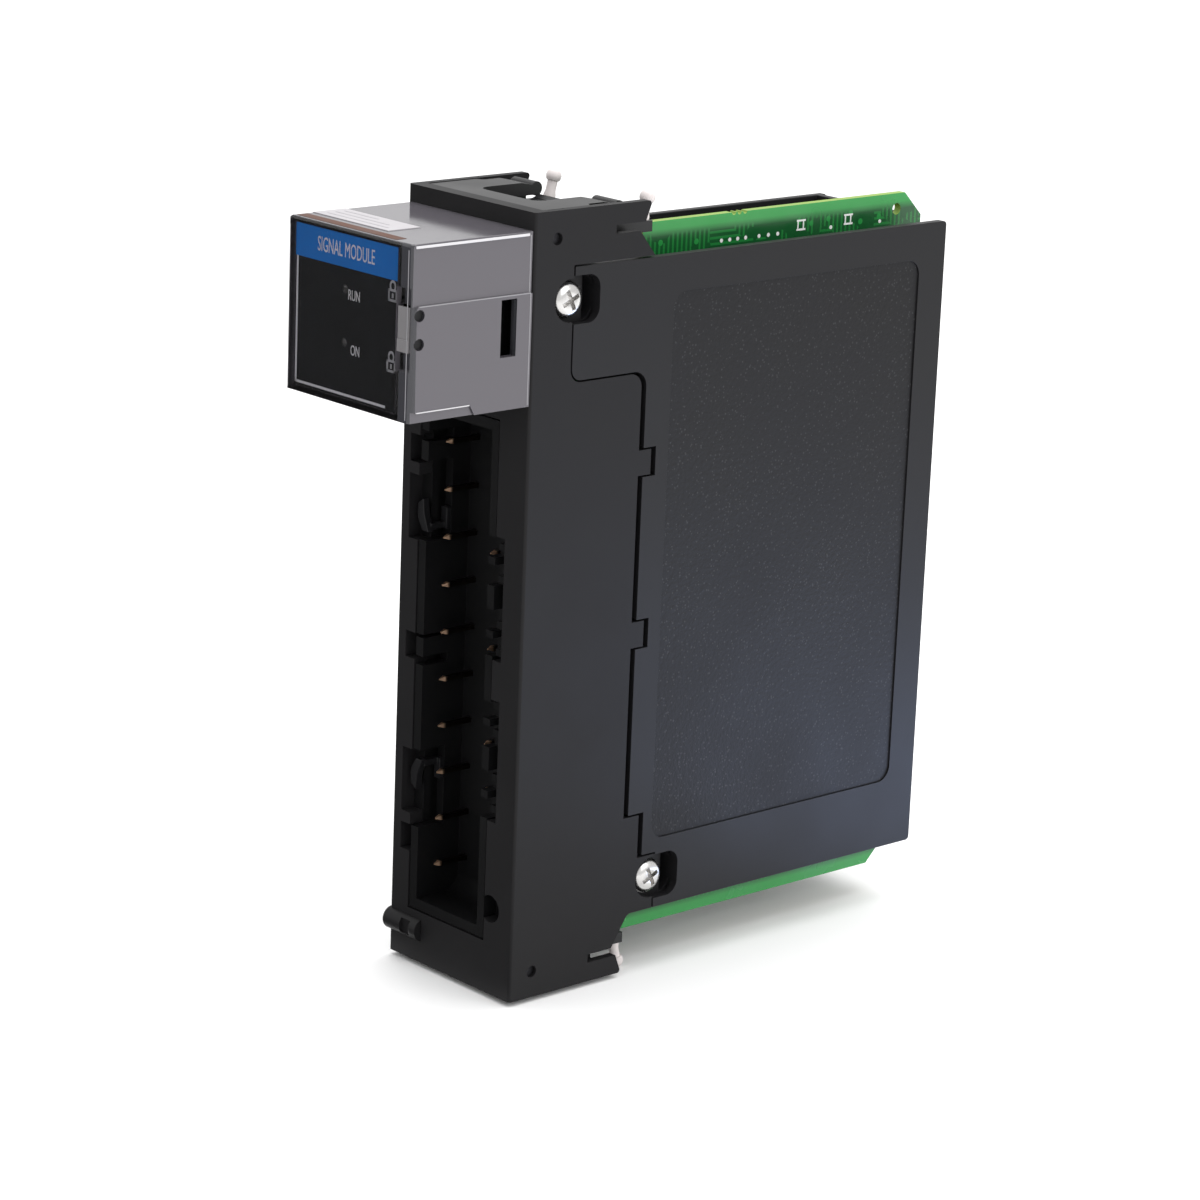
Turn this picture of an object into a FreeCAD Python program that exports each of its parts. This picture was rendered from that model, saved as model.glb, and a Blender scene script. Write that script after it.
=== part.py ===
import FreeCAD, Part
import math
import os

from FreeCAD import Vector as V

# Plug-in analogue module for an industrial controller chassis.
# Bench coordinates, in mm: X across the width, Y from the bezel face (0) towards the backplane,
# Z up from the underside of the housing. Every node is moved to the part's origin on export.

# --- Envelope -------------------------------------------------------------------------------
WIDTH = 35.0            # one chassis slot
HEIGHT = 145.6          # bezel housing, top to bottom
BOX_REACH = 27.0        # status box, in front of the bezel face
COVER_REAR = 103.1      # rear edge of the right cover
DEPTH = 105.5           # rear edge of the left cover, behind the bezel face
HALF = WIDTH / 2
MID_HEIGHT = HEIGHT / 2
MID_DEPTH = (DEPTH - BOX_REACH) / 2
ORIGIN_SHIFT = V(0, -MID_DEPTH, 0)

# --- Moulded shells ---------------------------------------------------------------------------
WALL = 1.6              # side walls and covers
INNER = HALF - WALL     # inner face of the side walls
FRONT_WALL = 3.0
SEAM = 0.35             # open line between housing and covers, along level edges
EDGE_SEAM = 1.15        # the same line along the upright parting edge
EDGE_ROUND = 0.6
WALL_REAR = 27.3        # rear ends of the barbs
PART_REAR = 26.4        # parting edge of the housing side walls
COVER_LOW = 11.3
COVER_HIGH = 135.6
TONGUE_FRONT = 9.3      # the covers reach this far forward beside the status electronics
TONGUE_LOW = 114.4
TAB_REAR = 29.4         # square keys along the parting line
STEP_REAR = 30.2        # step above the housing's foot
NECK_REAR = 28.4        # the side walls slope from here to the barb slots
NECK_FRONT = 24.6
FOOT_REAR = 34.4        # housing lug that carries the lower cover screw
FOOT_TOP = 21.9
BARB_SLOT = (18.9, 25.8, 3.7, 5.3)      # y0, y1, z0, z1 at the bottom; mirrored at the top
SHELF = (12.3, 16.4, 8.5, 9.9)          # spring shelf, y0, y1, z0, z1 at the bottom

# --- Cover screws -----------------------------------------------------------------------------
SCREWS = ((9.0, 129.3), (34.0, 17.4))   # y, z
HEAD_R = 3.5
HEAD_THICK = 2.4
HEAD_SEAT_X = HALF - HEAD_THICK - 0.1
SHANK_R = 1.5
SHANK_LENGTH = 12.0
HEAD_CLEAR_R = 3.95
RECESS_REACH = 6.6      # the recess runs rearwards past the head
RECESS_HALF_H = 4.35
WELL_FRONT = 4.4        # and is deeper behind the head
WELL_DEPTH = 2.2
PAD_THICK = 1.5
PAD_HALF_H = 4.95
BOSS_R = 3.2
INSERT_R = 2.2
INSERT_LENGTH = 8.0
BOSS_TIP_X = HEAD_SEAT_X - PAD_THICK - 0.2

# --- Circuit board ----------------------------------------------------------------------------
BOARD_X = (8.4, 10.0)
BOARD_FRONT = 13.0
BOARD_STEP = 32.0       # the card edges start behind the housing
BOARD_REAR = 103.7
BOARD_LOW = 5.0
BOARD_HIGH = 139.9
BOARD_INNER_LOW = 14.0
BOARD_INNER_HIGH = 131.0
BOARD_CORNER = 4.6
POSTS = ((45.0, 124.0), (92.0, 122.0), (92.0, 22.0))    # y, z
POST_R = 2.6
PEG_R = 1.0
GUIDE_HOLE = (97.0, 136.9)              # y, z
GUIDE_HOLE_R = 1.1
BREAK_OFF_Y = (54.4, 55.8, 57.2)        # bites left in the upper edge by the panel's break-off tab
BREAK_OFF_R = 0.5
VENT_WALLS = (17.3, 128.1)              # lower faces of the left cover's level walls
VENT_X = 7.9

# --- Terminal pocket --------------------------------------------------------------------------
FRAME_X = (-12.35, 9.75)                # opening in the front wall
FRAME_Z = (9.8, 107.5)
FRAME_GAP = 0.3
NOTCH_X = -15.0                         # outer end of the left keying notches
NOTCHES = ((20.9, 26.1), (28.3, 40.7), (58.1, 63.1), (80.7, 92.9), (95.1, 100.3))
COMB_X = 12.1                           # outer end of the right keying recesses
COMBS = ((33.0, 55.9), (63.3, 86.2))
LIP = 2.0                               # shroud wall
POCKET_DEPTH = 10.0
HEADER_REAR = 12.0
LIP_CUT_DEPTH = 6.0
LEFT_LIP_GAPS = ((26.0, 41.0), (57.3, 59.0), (62.5, 63.2), (80.9, 95.9), (99.5, 101.5))
RIGHT_LIP_GAPS = ((33.2, 37.0), (38.4, 42.3), (46.7, 50.7), (52.0, 55.3),
                  (63.9, 67.2), (68.5, 72.5), (76.9, 80.8), (82.2, 86.0))
WEBS = (34.4, 40.4, 48.8, 54.0, 63.9, 69.1, 77.5, 83.5)  # lower edge of each comb web
WEB_HIGH = 1.3

# --- Contact pins -----------------------------------------------------------------------------
PIN_ROWS = 10
PIN_PITCH = 8.96
PIN_TOP_Z = 99.7
PIN_LEFT_X = -7.85
PIN_RIGHT_X = 5.5
PIN_HALF = 0.45
PIN_TIP_Y = 2.4
PIN_BEND_Y = {"left": 18.2, "right": 14.9}
PIN_TAIL_X = 11.0

# --- Latches ----------------------------------------------------------------------------------
PIVOT_Y = 5.2
PIVOT_DROP = 5.0        # pivot below the top face, above the bottom face
HUB_R = 1.9
PIN_R = 1.1
PIN_BORE_R = 1.16
PIN_LENGTH = 33.4
LATCH_HALF = 15.65
LATCH_TOP = HEIGHT - 0.1
LATCH_FRONT = FRONT_WALL + 0.3
STRIP_REAR = 8.2
PLATE_THICK = 2.4
ARM_INNER = 8.1
ARM_OUTER = 14.3
ARM_REAR = 23.4
SHOULDER_Y = 14.4
RAIL_X = (11.3, 14.3)
CATCH_X = 12.8
CATCH_Y = 28.7
CATCH_R = 1.2
CATCH_RISE = 1.0        # tips stand this far above the housing
CATCH_LEAN = 12.0       # degrees, rearwards
ARM_TIP_R = 1.3         # thick round end of each arm
RAIL_BASE_DROP = 6.4
SPRING_Y = 16.0
SPRING_SEAT = 11.2      # floor of the spring cup, in from the top or bottom face
SPRING_GAP = 0.02
SPRING_CUP_R = 2.95
SPRING_CUP_WALL = 1.0
PAD_UNDERSIDE = 5.6     # lowest point of the thumb pad, in from the top or bottom face
SKIRT_Y = (21.4, 22.9)  # wall under the thumb pad's rear edge
SKIRT_DROP = 7.6
SPRING_R = 2.3
SPRING_WIRE_R = 0.3
SPRING_PITCH = 1.1

# --- Status box -------------------------------------------------------------------------------
LENS_X = (-16.8, HALF)
LENS_Z = (111.4, 142.4)
LENS_WALL = 0.9
LENS_FRONT = 1.7
LENS_WINDOW = 0.8       # front wall where it covers the legend
LENS_BACK_Y = -0.15
STEP_X = HALF - 0.4     # the side wall is thinner above the step line
STEP_Z = 131.6
SIDE_SLOT = (-7.1, -3.6, 120.8, 131.0)
CORE_X = (-15.75, 12.9)
CORE_Z = (112.45, 141.2)
CORE_FRONT = -25.6
CARD_THICK = 0.2
BAND_THICK = 0.15
BAND_Z = (135.4, 141.2)
SPIGOT_X = (-13.5, 11.5)
SPIGOT_Z = (115.0, 138.0)
PIPE_R = 1.0
PIPES = ((-1.9, 131.6), (-1.9, 122.2))  # x, z
LED_Y = 3.0
STATUS_BOARD_Y = (3.6, 5.2)
TAB_X = (13.6, 16.6)
TAB_BAR_X = (14.1, 15.5)
TAB_Z = (123.6, 131.5)
TAB_TRAVEL = 3.0
TAB_STEM_Z = (126.5, 128.5)
TAB_BAR_Z = (116.2, 118.4)
TAB_CLEAR = 0.3
TAB_THICK = 0.7

# --- Backplane plug ---------------------------------------------------------------------------
PLUG_X = (-3.2, 8.4)
PLUG_Y = (88.0, 104.5)
PLUG_Z = (44.0, 104.0)
PLUG_WALL = 1.6
PLUG_CAVITY = 9.0
CONTACT_ROWS = 18
CONTACT_PITCH = 3.0


def box(x, y, z):
    """Block between two values on each axis."""
    return Part.makeBox(x[1] - x[0], y[1] - y[0], z[1] - z[0], V(x[0], y[0], z[0]))


def rod(radius, start, end):
    """Round bar between two points."""
    axis = V(*end) - V(*start)
    return Part.makeCylinder(radius, axis.Length, V(*start), axis)


def fuse(shapes):
    """One solid from several touching ones."""
    whole = shapes[0].multiFuse(shapes[1:]) if len(shapes) > 1 else shapes[0]
    return whole.removeSplitter()


def cut(shape, tools):
    """A shape less a list of tools."""
    return shape.cut(tools).removeSplitter()


def rounded_wire(points):
    """Closed wire through 3-D points, each with its own corner radius (0 is sharp)."""
    count = len(points)
    edges = []
    ends = []
    for i in range(count):
        corner, radius = points[i]
        before = (points[i - 1][0] - corner).normalize()
        after = (points[(i + 1) % count][0] - corner).normalize()
        if radius <= 0:
            ends.append((corner, None, corner))
            continue
        half_angle = before.getAngle(after) / 2
        reach = radius / math.tan(half_angle)
        middle_dir = (before + after).normalize()
        middle = corner + middle_dir * (radius / math.sin(half_angle) - radius)
        ends.append((corner + before * reach, middle, corner + after * reach))
    for i in range(count):
        start, middle, end = ends[i]
        if middle is not None:
            edges.append(Part.Arc(start, middle, end).toShape())
        following = ends[(i + 1) % count][0]
        if end.distanceToPoint(following) > 1e-6:
            edges.append(Part.makeLine(end, following))
    return Part.Wire(edges)


def side_plate(outline, x0, x1):
    """Plate with a (y, z, radius) outline, between two X planes."""
    wire = rounded_wire([(V(x0, y, z), radius) for y, z, radius in outline])
    return Part.Face(wire).extrude(V(x1 - x0, 0, 0))


def plan_plate(outline, z0, z1):
    """Plate with an (x, y, radius) outline, between two Z planes."""
    wire = rounded_wire([(V(x, y, z0), radius) for x, y, radius in outline])
    return Part.Face(wire).extrude(V(0, 0, z1 - z0))


def front_plate(outline, y0, y1):
    """Plate with an (x, z, radius) outline, between two Y planes."""
    wire = rounded_wire([(V(x, y0, z), radius) for x, z, radius in outline])
    return Part.Face(wire).extrude(V(0, y1 - y0, 0))


def mirror_left(shape):
    """The same piece on the other side of the module."""
    return shape.mirror(V(0, 0, 0), V(1, 0, 0))


def mirror_down(shape):
    """The same piece at the bottom of the module."""
    return shape.mirror(V(0, 0, MID_HEIGHT), V(0, 0, 1))


def round_edges(shape, radius, test):
    """Fillet the edges whose middle point passes a test."""
    chosen = []
    for edge in shape.Edges:
        low, high = edge.ParameterRange
        if test(edge.valueAt((low + high) / 2), edge):
            chosen.append(edge)
    return shape.makeFillet(radius, chosen)


def upright(edge):
    """True for a straight vertical edge."""
    return edge.Curve.TypeId == "Part::GeomLine" and abs(edge.tangentAt(edge.FirstParameter).z) > 0.99


def wall_outline():
    """Side wall of the housing: barbs at both ends, square keys along the covers' edge."""
    slot_front, slot_rear, slot_low, slot_high = BARB_SLOT
    top = HEIGHT
    return [
        (0, 0, 0), (WALL_REAR, 0, 0.6), (slot_rear, slot_low, 0), (slot_front, slot_low, 0),
        (slot_front, slot_high, 0), (NECK_FRONT, slot_high, 0), (NECK_REAR, COVER_LOW, 1.5),
        (FOOT_REAR, COVER_LOW, 0), (FOOT_REAR, FOOT_TOP, 0),
        (STEP_REAR, FOOT_TOP, 0), (STEP_REAR, 30.3, 0), (PART_REAR, 30.3, 0),
        (PART_REAR, 63.0, 0), (TAB_REAR, 63.0, 0), (TAB_REAR, 67.9, 0), (PART_REAR, 67.9, 0),
        (PART_REAR, 95.4, 0), (TAB_REAR, 95.4, 0), (TAB_REAR, 100.1, 0), (PART_REAR, 100.1, 0),
        (PART_REAR, TONGUE_LOW, 2.6), (TONGUE_FRONT, TONGUE_LOW, 2.5),
        (TONGUE_FRONT, COVER_HIGH, 0), (NECK_REAR, COVER_HIGH, 0),
        (NECK_FRONT, top - slot_high, 0), (slot_front, top - slot_high, 0),
        (slot_front, top - slot_low, 0), (slot_rear, top - slot_low, 0),
        (WALL_REAR, top, 0.6), (0, top, 0),
    ]


def spring_shelf():
    """Bar between the side walls at the bottom, with a cup for the latch spring."""
    bar = box((-INNER - 0.1, INNER + 0.1), SHELF[:2], SHELF[2:])
    cup = rod(SPRING_CUP_R + SPRING_CUP_WALL, (0, SPRING_Y, SHELF[2]),
              (0, SPRING_Y, SPRING_SEAT + SPRING_CUP_WALL))
    well = rod(SPRING_CUP_R, (0, SPRING_Y, SHELF[2] - 1), (0, SPRING_Y, SPRING_SEAT))
    return cut(fuse([bar, cup]), [well])


def front_housing():
    """Bezel housing: front wall, two side walls and two spring shelves."""
    right_wall = side_plate(wall_outline(), INNER, HALF)
    front = box((-HALF, HALF), (0, FRONT_WALL), (0, HEIGHT))
    shelf = spring_shelf()
    shell = fuse([front, right_wall, mirror_left(right_wall), shelf, mirror_down(shelf)])
    shell = round_edges(shell, EDGE_ROUND,
                        lambda p, e: abs(abs(p.x) - HALF) < 0.01 and abs(p.y) < 0.01 and upright(e))
    thickness = (-0.1, FRONT_WALL + 0.1)
    tools = [box(FRAME_X, thickness, FRAME_Z)]
    tools += [box((NOTCH_X, FRAME_X[0] + 0.1), thickness, notch) for notch in NOTCHES]
    tools += [box((FRAME_X[1] - 0.1, COMB_X), thickness, comb) for comb in COMBS]
    tools.append(rod(2.6, (11.3, -0.1, 16.4), (11.3, FRONT_WALL + 0.1, 16.4)))
    tools.append(box((SPIGOT_X[0] - 0.3, SPIGOT_X[1] + 0.3), thickness,
                     (SPIGOT_Z[0] - 0.3, SPIGOT_Z[1] + 0.3)))
    tools.append(rod(2.25, (-HALF - 0.1, 0.75, 6.2), (-8.3, 0.75, 6.2)))
    for pivot_z in (PIVOT_DROP, HEIGHT - PIVOT_DROP):
        tools.append(rod(PIN_R + 0.02, (-HALF - 1, PIVOT_Y, pivot_z), (HALF + 1, PIVOT_Y, pivot_z)))
    for y, z in SCREWS:
        tools.append(rod(HEAD_CLEAR_R, (HEAD_SEAT_X - 1, y, z), (HALF + 1, y, z)))
    relief = box((INNER - 0.1, INNER + 0.4), (3.7, 7.4), (HEIGHT - 4.6, HEIGHT + 0.1))
    tools += [relief, mirror_down(relief)]
    return cut(shell, tools)


def cover_outline(rear):
    """Plate outline of a side cover, before the housing's edge is taken out of it."""
    front = TONGUE_FRONT + SEAM
    return [(front, COVER_LOW, 0), (rear, COVER_LOW, 0.8), (rear, COVER_HIGH - SEAM, 0.8),
            (front, COVER_HIGH - SEAM, 0)]


def cover_plate(rear, x0, x1):
    """Cover plate that keeps the seam to the housing's side wall."""
    plate = side_plate(cover_outline(rear), x0, x1)
    wire = rounded_wire([(V(x0 - 1, y, z), radius) for y, z, radius in wall_outline()])
    grown = Part.Face(wire).makeOffset2D(SEAM, 2, False, False, False).extrude(V(x1 - x0 + 2, 0, 0))
    wider = grown.translated(V(0, EDGE_SEAM - SEAM, 0))
    parting = wider.common(box((x0 - 1, x1 + 1), (0, rear), (FOOT_TOP + SEAM, TONGUE_LOW + SEAM)))
    return cut(plate, [grown, parting])


def screw_recess(y, z, x0, x1):
    """Recess round a screw head, longer towards the rear."""
    outline = [(y, z - RECESS_HALF_H, 0), (y + RECESS_REACH, z - RECESS_HALF_H, 2.6),
               (y + RECESS_REACH, z + RECESS_HALF_H, 2.6), (y, z + RECESS_HALF_H, 0)]
    return side_plate(outline, x0, x1)


def right_cover():
    """Flat side cover with a sunk label field, screw pads and board posts."""
    plate = cover_plate(COVER_REAR, INNER, HALF)
    field = side_plate([(33.5, 24.9, 3), (96.4, 24.9, 3), (96.4, 128.4, 3), (33.5, 128.4, 3)],
                       HALF - 0.35, HALF + 1)
    plate = cut(plate, [field] + [screw_recess(y, z, HEAD_SEAT_X, HALF + 1) for y, z in SCREWS])
    pieces = [plate]
    holes = []
    for y, z in SCREWS:
        pad_z = (z - PAD_HALF_H, z + PAD_HALF_H)
        pad_rear = y + RECESS_REACH + 1.2
        floor = HEAD_SEAT_X - WELL_DEPTH
        pieces.append(box((HEAD_SEAT_X - PAD_THICK, HEAD_SEAT_X), (y - 4.2, pad_rear), pad_z))
        pieces.append(box((floor - PAD_THICK, HEAD_SEAT_X), (y + WELL_FRONT - 1.0, pad_rear), pad_z))
        pieces.append(box((HEAD_SEAT_X, INNER + 0.05), (y + RECESS_REACH, pad_rear), pad_z))
        behind_head = box((floor, HALF), (y + WELL_FRONT, pad_rear), pad_z)
        holes.append(screw_recess(y, z, floor, HALF).common(behind_head))
    for y, z in POSTS:
        pieces.append(rod(POST_R, (BOARD_X[1], y, z), (INNER + 0.05, y, z)))
    cover = fuse(pieces)
    holes += [rod(SHANK_R + 0.2, (0, y, z), (HALF, y, z)) for y, z in SCREWS]
    holes += [rod(PEG_R + 0.1, (BOARD_X[1] - 1, y, z), (BOARD_X[1] + 2.6, y, z)) for y, z in POSTS]
    return cut(cover, holes)


def vent_wall(z):
    """Level wall of the left cover with a row of vent slots."""
    wall = box((-INNER - 0.05, VENT_X), (35.0, 101.5), (z, z + 1.2))
    slots = [box((-12.4, 5.2), (38.6 + 6.2 * i, 42.2 + 6.2 * i), (z - 1, z + 3)) for i in range(10)]
    return cut(wall, slots)


def left_cover():
    """Tray-shaped side cover: plate, rear wall, screw bosses and board posts."""
    plate = cover_plate(DEPTH, -HALF, -INNER)
    corner = [(DEPTH - 2.2, COVER_HIGH, 0), (DEPTH + 1, COVER_HIGH - 3.2, 0), (DEPTH + 1, COVER_HIGH + 1, 0)]
    chamfer = side_plate(corner, -HALF - 1, -INNER + 1)
    plate = cut(plate, [chamfer, mirror_down(chamfer)])
    rear_wall = box((-INNER - 0.05, 7.9), (101.3, 102.9), (COVER_LOW, COVER_HIGH - SEAM))
    plug_gap = box((PLUG_X[0] - 0.4, 9), (100, 104), (PLUG_Z[0] - 0.4, PLUG_Z[1] + 0.4))
    pieces = [plate, cut(rear_wall, [plug_gap])] + [vent_wall(z) for z in VENT_WALLS]
    bores = []
    for y, z in SCREWS:
        pieces.append(rod(BOSS_R, (-INNER, y, z), (BOSS_TIP_X, y, z)))
        bores.append(rod(INSERT_R, (BOSS_TIP_X - INSERT_LENGTH, y, z), (BOSS_TIP_X + 1, y, z)))
        bores.append(rod(SHANK_R + 0.3, (BOSS_TIP_X - 12, y, z), (BOSS_TIP_X, y, z)))
    for y, z in POSTS:
        pieces.append(rod(POST_R, (-INNER - 0.05, y, z), (BOARD_X[0], y, z)))
        pieces.append(rod(PEG_R, (BOARD_X[0] - 0.1, y, z), (BOARD_X[1] + 2, y, z)))
    return cut(fuse(pieces), bores)


def cover_screws():
    """Two pan-head cross-recess screws."""
    screws = []
    for y, z in SCREWS:
        seat, top = HEAD_SEAT_X, HEAD_SEAT_X + HEAD_THICK
        profile = Part.Wire([
            Part.makeLine(V(seat, y, z), V(seat, y, z + HEAD_R)),
            Part.Arc(V(seat, y, z + HEAD_R), V(seat + 1.75, y, z + HEAD_R - 0.6),
                     V(top, y, z + HEAD_R - 2.1)).toShape(),
            Part.makeLine(V(top, y, z + HEAD_R - 2.1), V(top, y, z)),
            Part.makeLine(V(top, y, z), V(seat, y, z)),
        ])
        head = Part.Face(profile).revolve(V(0, y, z), V(1, 0, 0), 360)
        shank = rod(SHANK_R, (seat - SHANK_LENGTH, y, z), (seat + 0.1, y, z))
        turn = 25
        blades = []
        for quarter in (0, 90):
            blade = box((top - 1.4, top + 0.5), (y - 1.95, y + 1.95), (z - 0.42, z + 0.42))
            blade.rotate(V(0, y, z), V(1, 0, 0), turn + quarter)
            blades.append(blade)
        screws.append(cut(fuse([head, shank]), blades))
    return Part.makeCompound(screws)


def screw_inserts():
    """Brass inserts in the left cover's bosses."""
    sleeves = []
    for y, z in SCREWS:
        start = (BOSS_TIP_X - INSERT_LENGTH, y, z)
        sleeves.append(rod(INSERT_R, start, (BOSS_TIP_X, y, z)).cut(
            rod(SHANK_R, start, (BOSS_TIP_X, y, z))))
    return Part.makeCompound(sleeves)


def pin_heights():
    """Height of each row of contact pins, from the top down."""
    return [PIN_TOP_Z - row * PIN_PITCH for row in range(PIN_ROWS)]


def circuit_board():
    """Main board; its upper and lower edges are the card guides."""
    low, high, bevel = BOARD_LOW, BOARD_HIGH, BOARD_CORNER
    outline = [
        (BOARD_FRONT, BOARD_INNER_LOW, 0), (BOARD_STEP, BOARD_INNER_LOW, 0), (BOARD_STEP, low, 0),
        (BOARD_REAR - bevel, low, 0), (BOARD_REAR, low + bevel, 0), (BOARD_REAR, high - bevel, 0),
        (BOARD_REAR - bevel, high, 0), (BOARD_STEP, high, 0), (BOARD_STEP, BOARD_INNER_HIGH, 0),
        (BOARD_FRONT, BOARD_INNER_HIGH, 0),
    ]
    board = side_plate(outline, *BOARD_X)
    through = (BOARD_X[0] - 1, BOARD_X[1] + 1)
    holes = [rod(PEG_R + 0.05, (through[0], y, z), (through[1], y, z)) for y, z in POSTS]
    boss_y, boss_z = SCREWS[1]
    holes.append(rod(BOSS_R + 0.5, (through[0], boss_y, boss_z), (through[1], boss_y, boss_z)))
    for z in pin_heights():
        for y in PIN_BEND_Y.values():
            holes.append(rod(PIN_HALF * 1.45, (through[0], y, z), (through[1], y, z)))
    holes.append(rod(GUIDE_HOLE_R, (through[0], *GUIDE_HOLE), (through[1], *GUIDE_HOLE)))
    holes += [rod(BREAK_OFF_R, (through[0], y, high), (through[1], y, high)) for y in BREAK_OFF_Y]
    return cut(board, holes)


def terminal_header():
    """Shroud for the removable terminal block, with the right-hand keying comb."""
    x0, x1 = FRAME_X[0] + FRAME_GAP, FRAME_X[1] - FRAME_GAP
    z0, z1 = FRAME_Z[0] + FRAME_GAP, FRAME_Z[1] - FRAME_GAP
    body = box((x0, x1), (0.15, HEADER_REAR), (z0, z1))
    flange = box((-15.4, 12.6), (FRONT_WALL, FRONT_WALL + 1.6), (8.2, 109.0))
    webs = [box((x1 - 0.1, x1 + 1.45), (1.0, FRONT_WALL + 0.1), (z, z + WEB_HIGH)) for z in WEBS]
    shroud = fuse([body, flange] + webs)
    pocket = box((x0 + LIP, x1 - LIP + 0.15), (-1, POCKET_DEPTH), (z0 + LIP, z1 - LIP))
    pocket = round_edges(pocket, 3.5, lambda p, e: abs(p.y - POCKET_DEPTH) < 0.01
                         and abs(p.z - z0 - LIP) < 0.01)
    tools = [pocket]
    tools += [box((x0 - 0.1, x0 + LIP + 0.1), (-1, LIP_CUT_DEPTH), gap) for gap in LEFT_LIP_GAPS]
    tools += [box((x1 - LIP, x1 + 0.02), (-1, FRONT_WALL), gap) for gap in RIGHT_LIP_GAPS]
    for x in (PIN_LEFT_X, PIN_RIGHT_X):
        for z in pin_heights():
            tools.append(box((x - PIN_HALF, x + PIN_HALF), (POCKET_DEPTH - 4, HEADER_REAR + 1),
                             (z - PIN_HALF, z + PIN_HALF)))
    return cut(shroud, tools)


def key_clips():
    """Two curved keying clips in the long notches of the left wall."""
    outline = [(-12.3, 38.8, 0), (-10.6, 38.8, 0), (-11.9, 35.8, 3.5), (-12.2, 32.8, 0),
               (-13.6, 33.8, 0.5), (-13.9, 36.4, 3.5)]
    blade = front_plate(outline, 1.0, 2.4)
    root = box((-11.9, -10.9), (2.0, LIP_CUT_DEPTH), (37.4, 38.6))
    foot = box((-11.9, -10.2), (LIP_CUT_DEPTH - 1.0, LIP_CUT_DEPTH), (34.6, 38.6))
    clip = fuse([blade, root, foot])
    return Part.makeCompound([clip, mirror_about(clip, 60.6)])


def mirror_about(shape, z):
    """The same piece on the other side of a level plane."""
    return shape.mirror(V(0, 0, z), V(0, 0, 1))


def contact_pin(x, z, bend_y):
    """Right-angle pin: pointed tip in the pocket, tail through the board."""
    taper = 1.1
    half = PIN_HALF
    point = 0.12
    plan = plan_plate([(x - half, PIN_TIP_Y + taper, 0), (x - point, PIN_TIP_Y, 0),
                       (x + point, PIN_TIP_Y, 0), (x + half, PIN_TIP_Y + taper, 0),
                       (x + half, bend_y + half, 0), (x - half, bend_y + half, 0)],
                      z - half, z + half)
    side = side_plate([(PIN_TIP_Y + taper, z - half, 0), (PIN_TIP_Y, z - point, 0),
                       (PIN_TIP_Y, z + point, 0), (PIN_TIP_Y + taper, z + half, 0),
                       (bend_y + half, z + half, 0), (bend_y + half, z - half, 0)],
                      x - half, x + half)
    tail = box((x, PIN_TAIL_X), (bend_y - half, bend_y + half), (z - half, z + half))
    return fuse([plan.common(side), tail])


def terminal_pins():
    """Two columns of contact pins."""
    pins = []
    for z in pin_heights():
        pins.append(contact_pin(PIN_LEFT_X, z, PIN_BEND_Y["left"]))
        pins.append(contact_pin(PIN_RIGHT_X, z, PIN_BEND_Y["right"]))
    return Part.makeCompound(pins)


def hinge_lug():
    """Round lug at the foot of the pocket, where the terminal block hooks in."""
    bar = rod(2.2, (-HALF - 0.4, 0.75, 6.2), (-8.5, 0.75, 6.2))
    window = box((-13.0, -10.4), (-3.0, -0.6), (4.9, 7.7))
    return cut(bar, [window])


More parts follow.
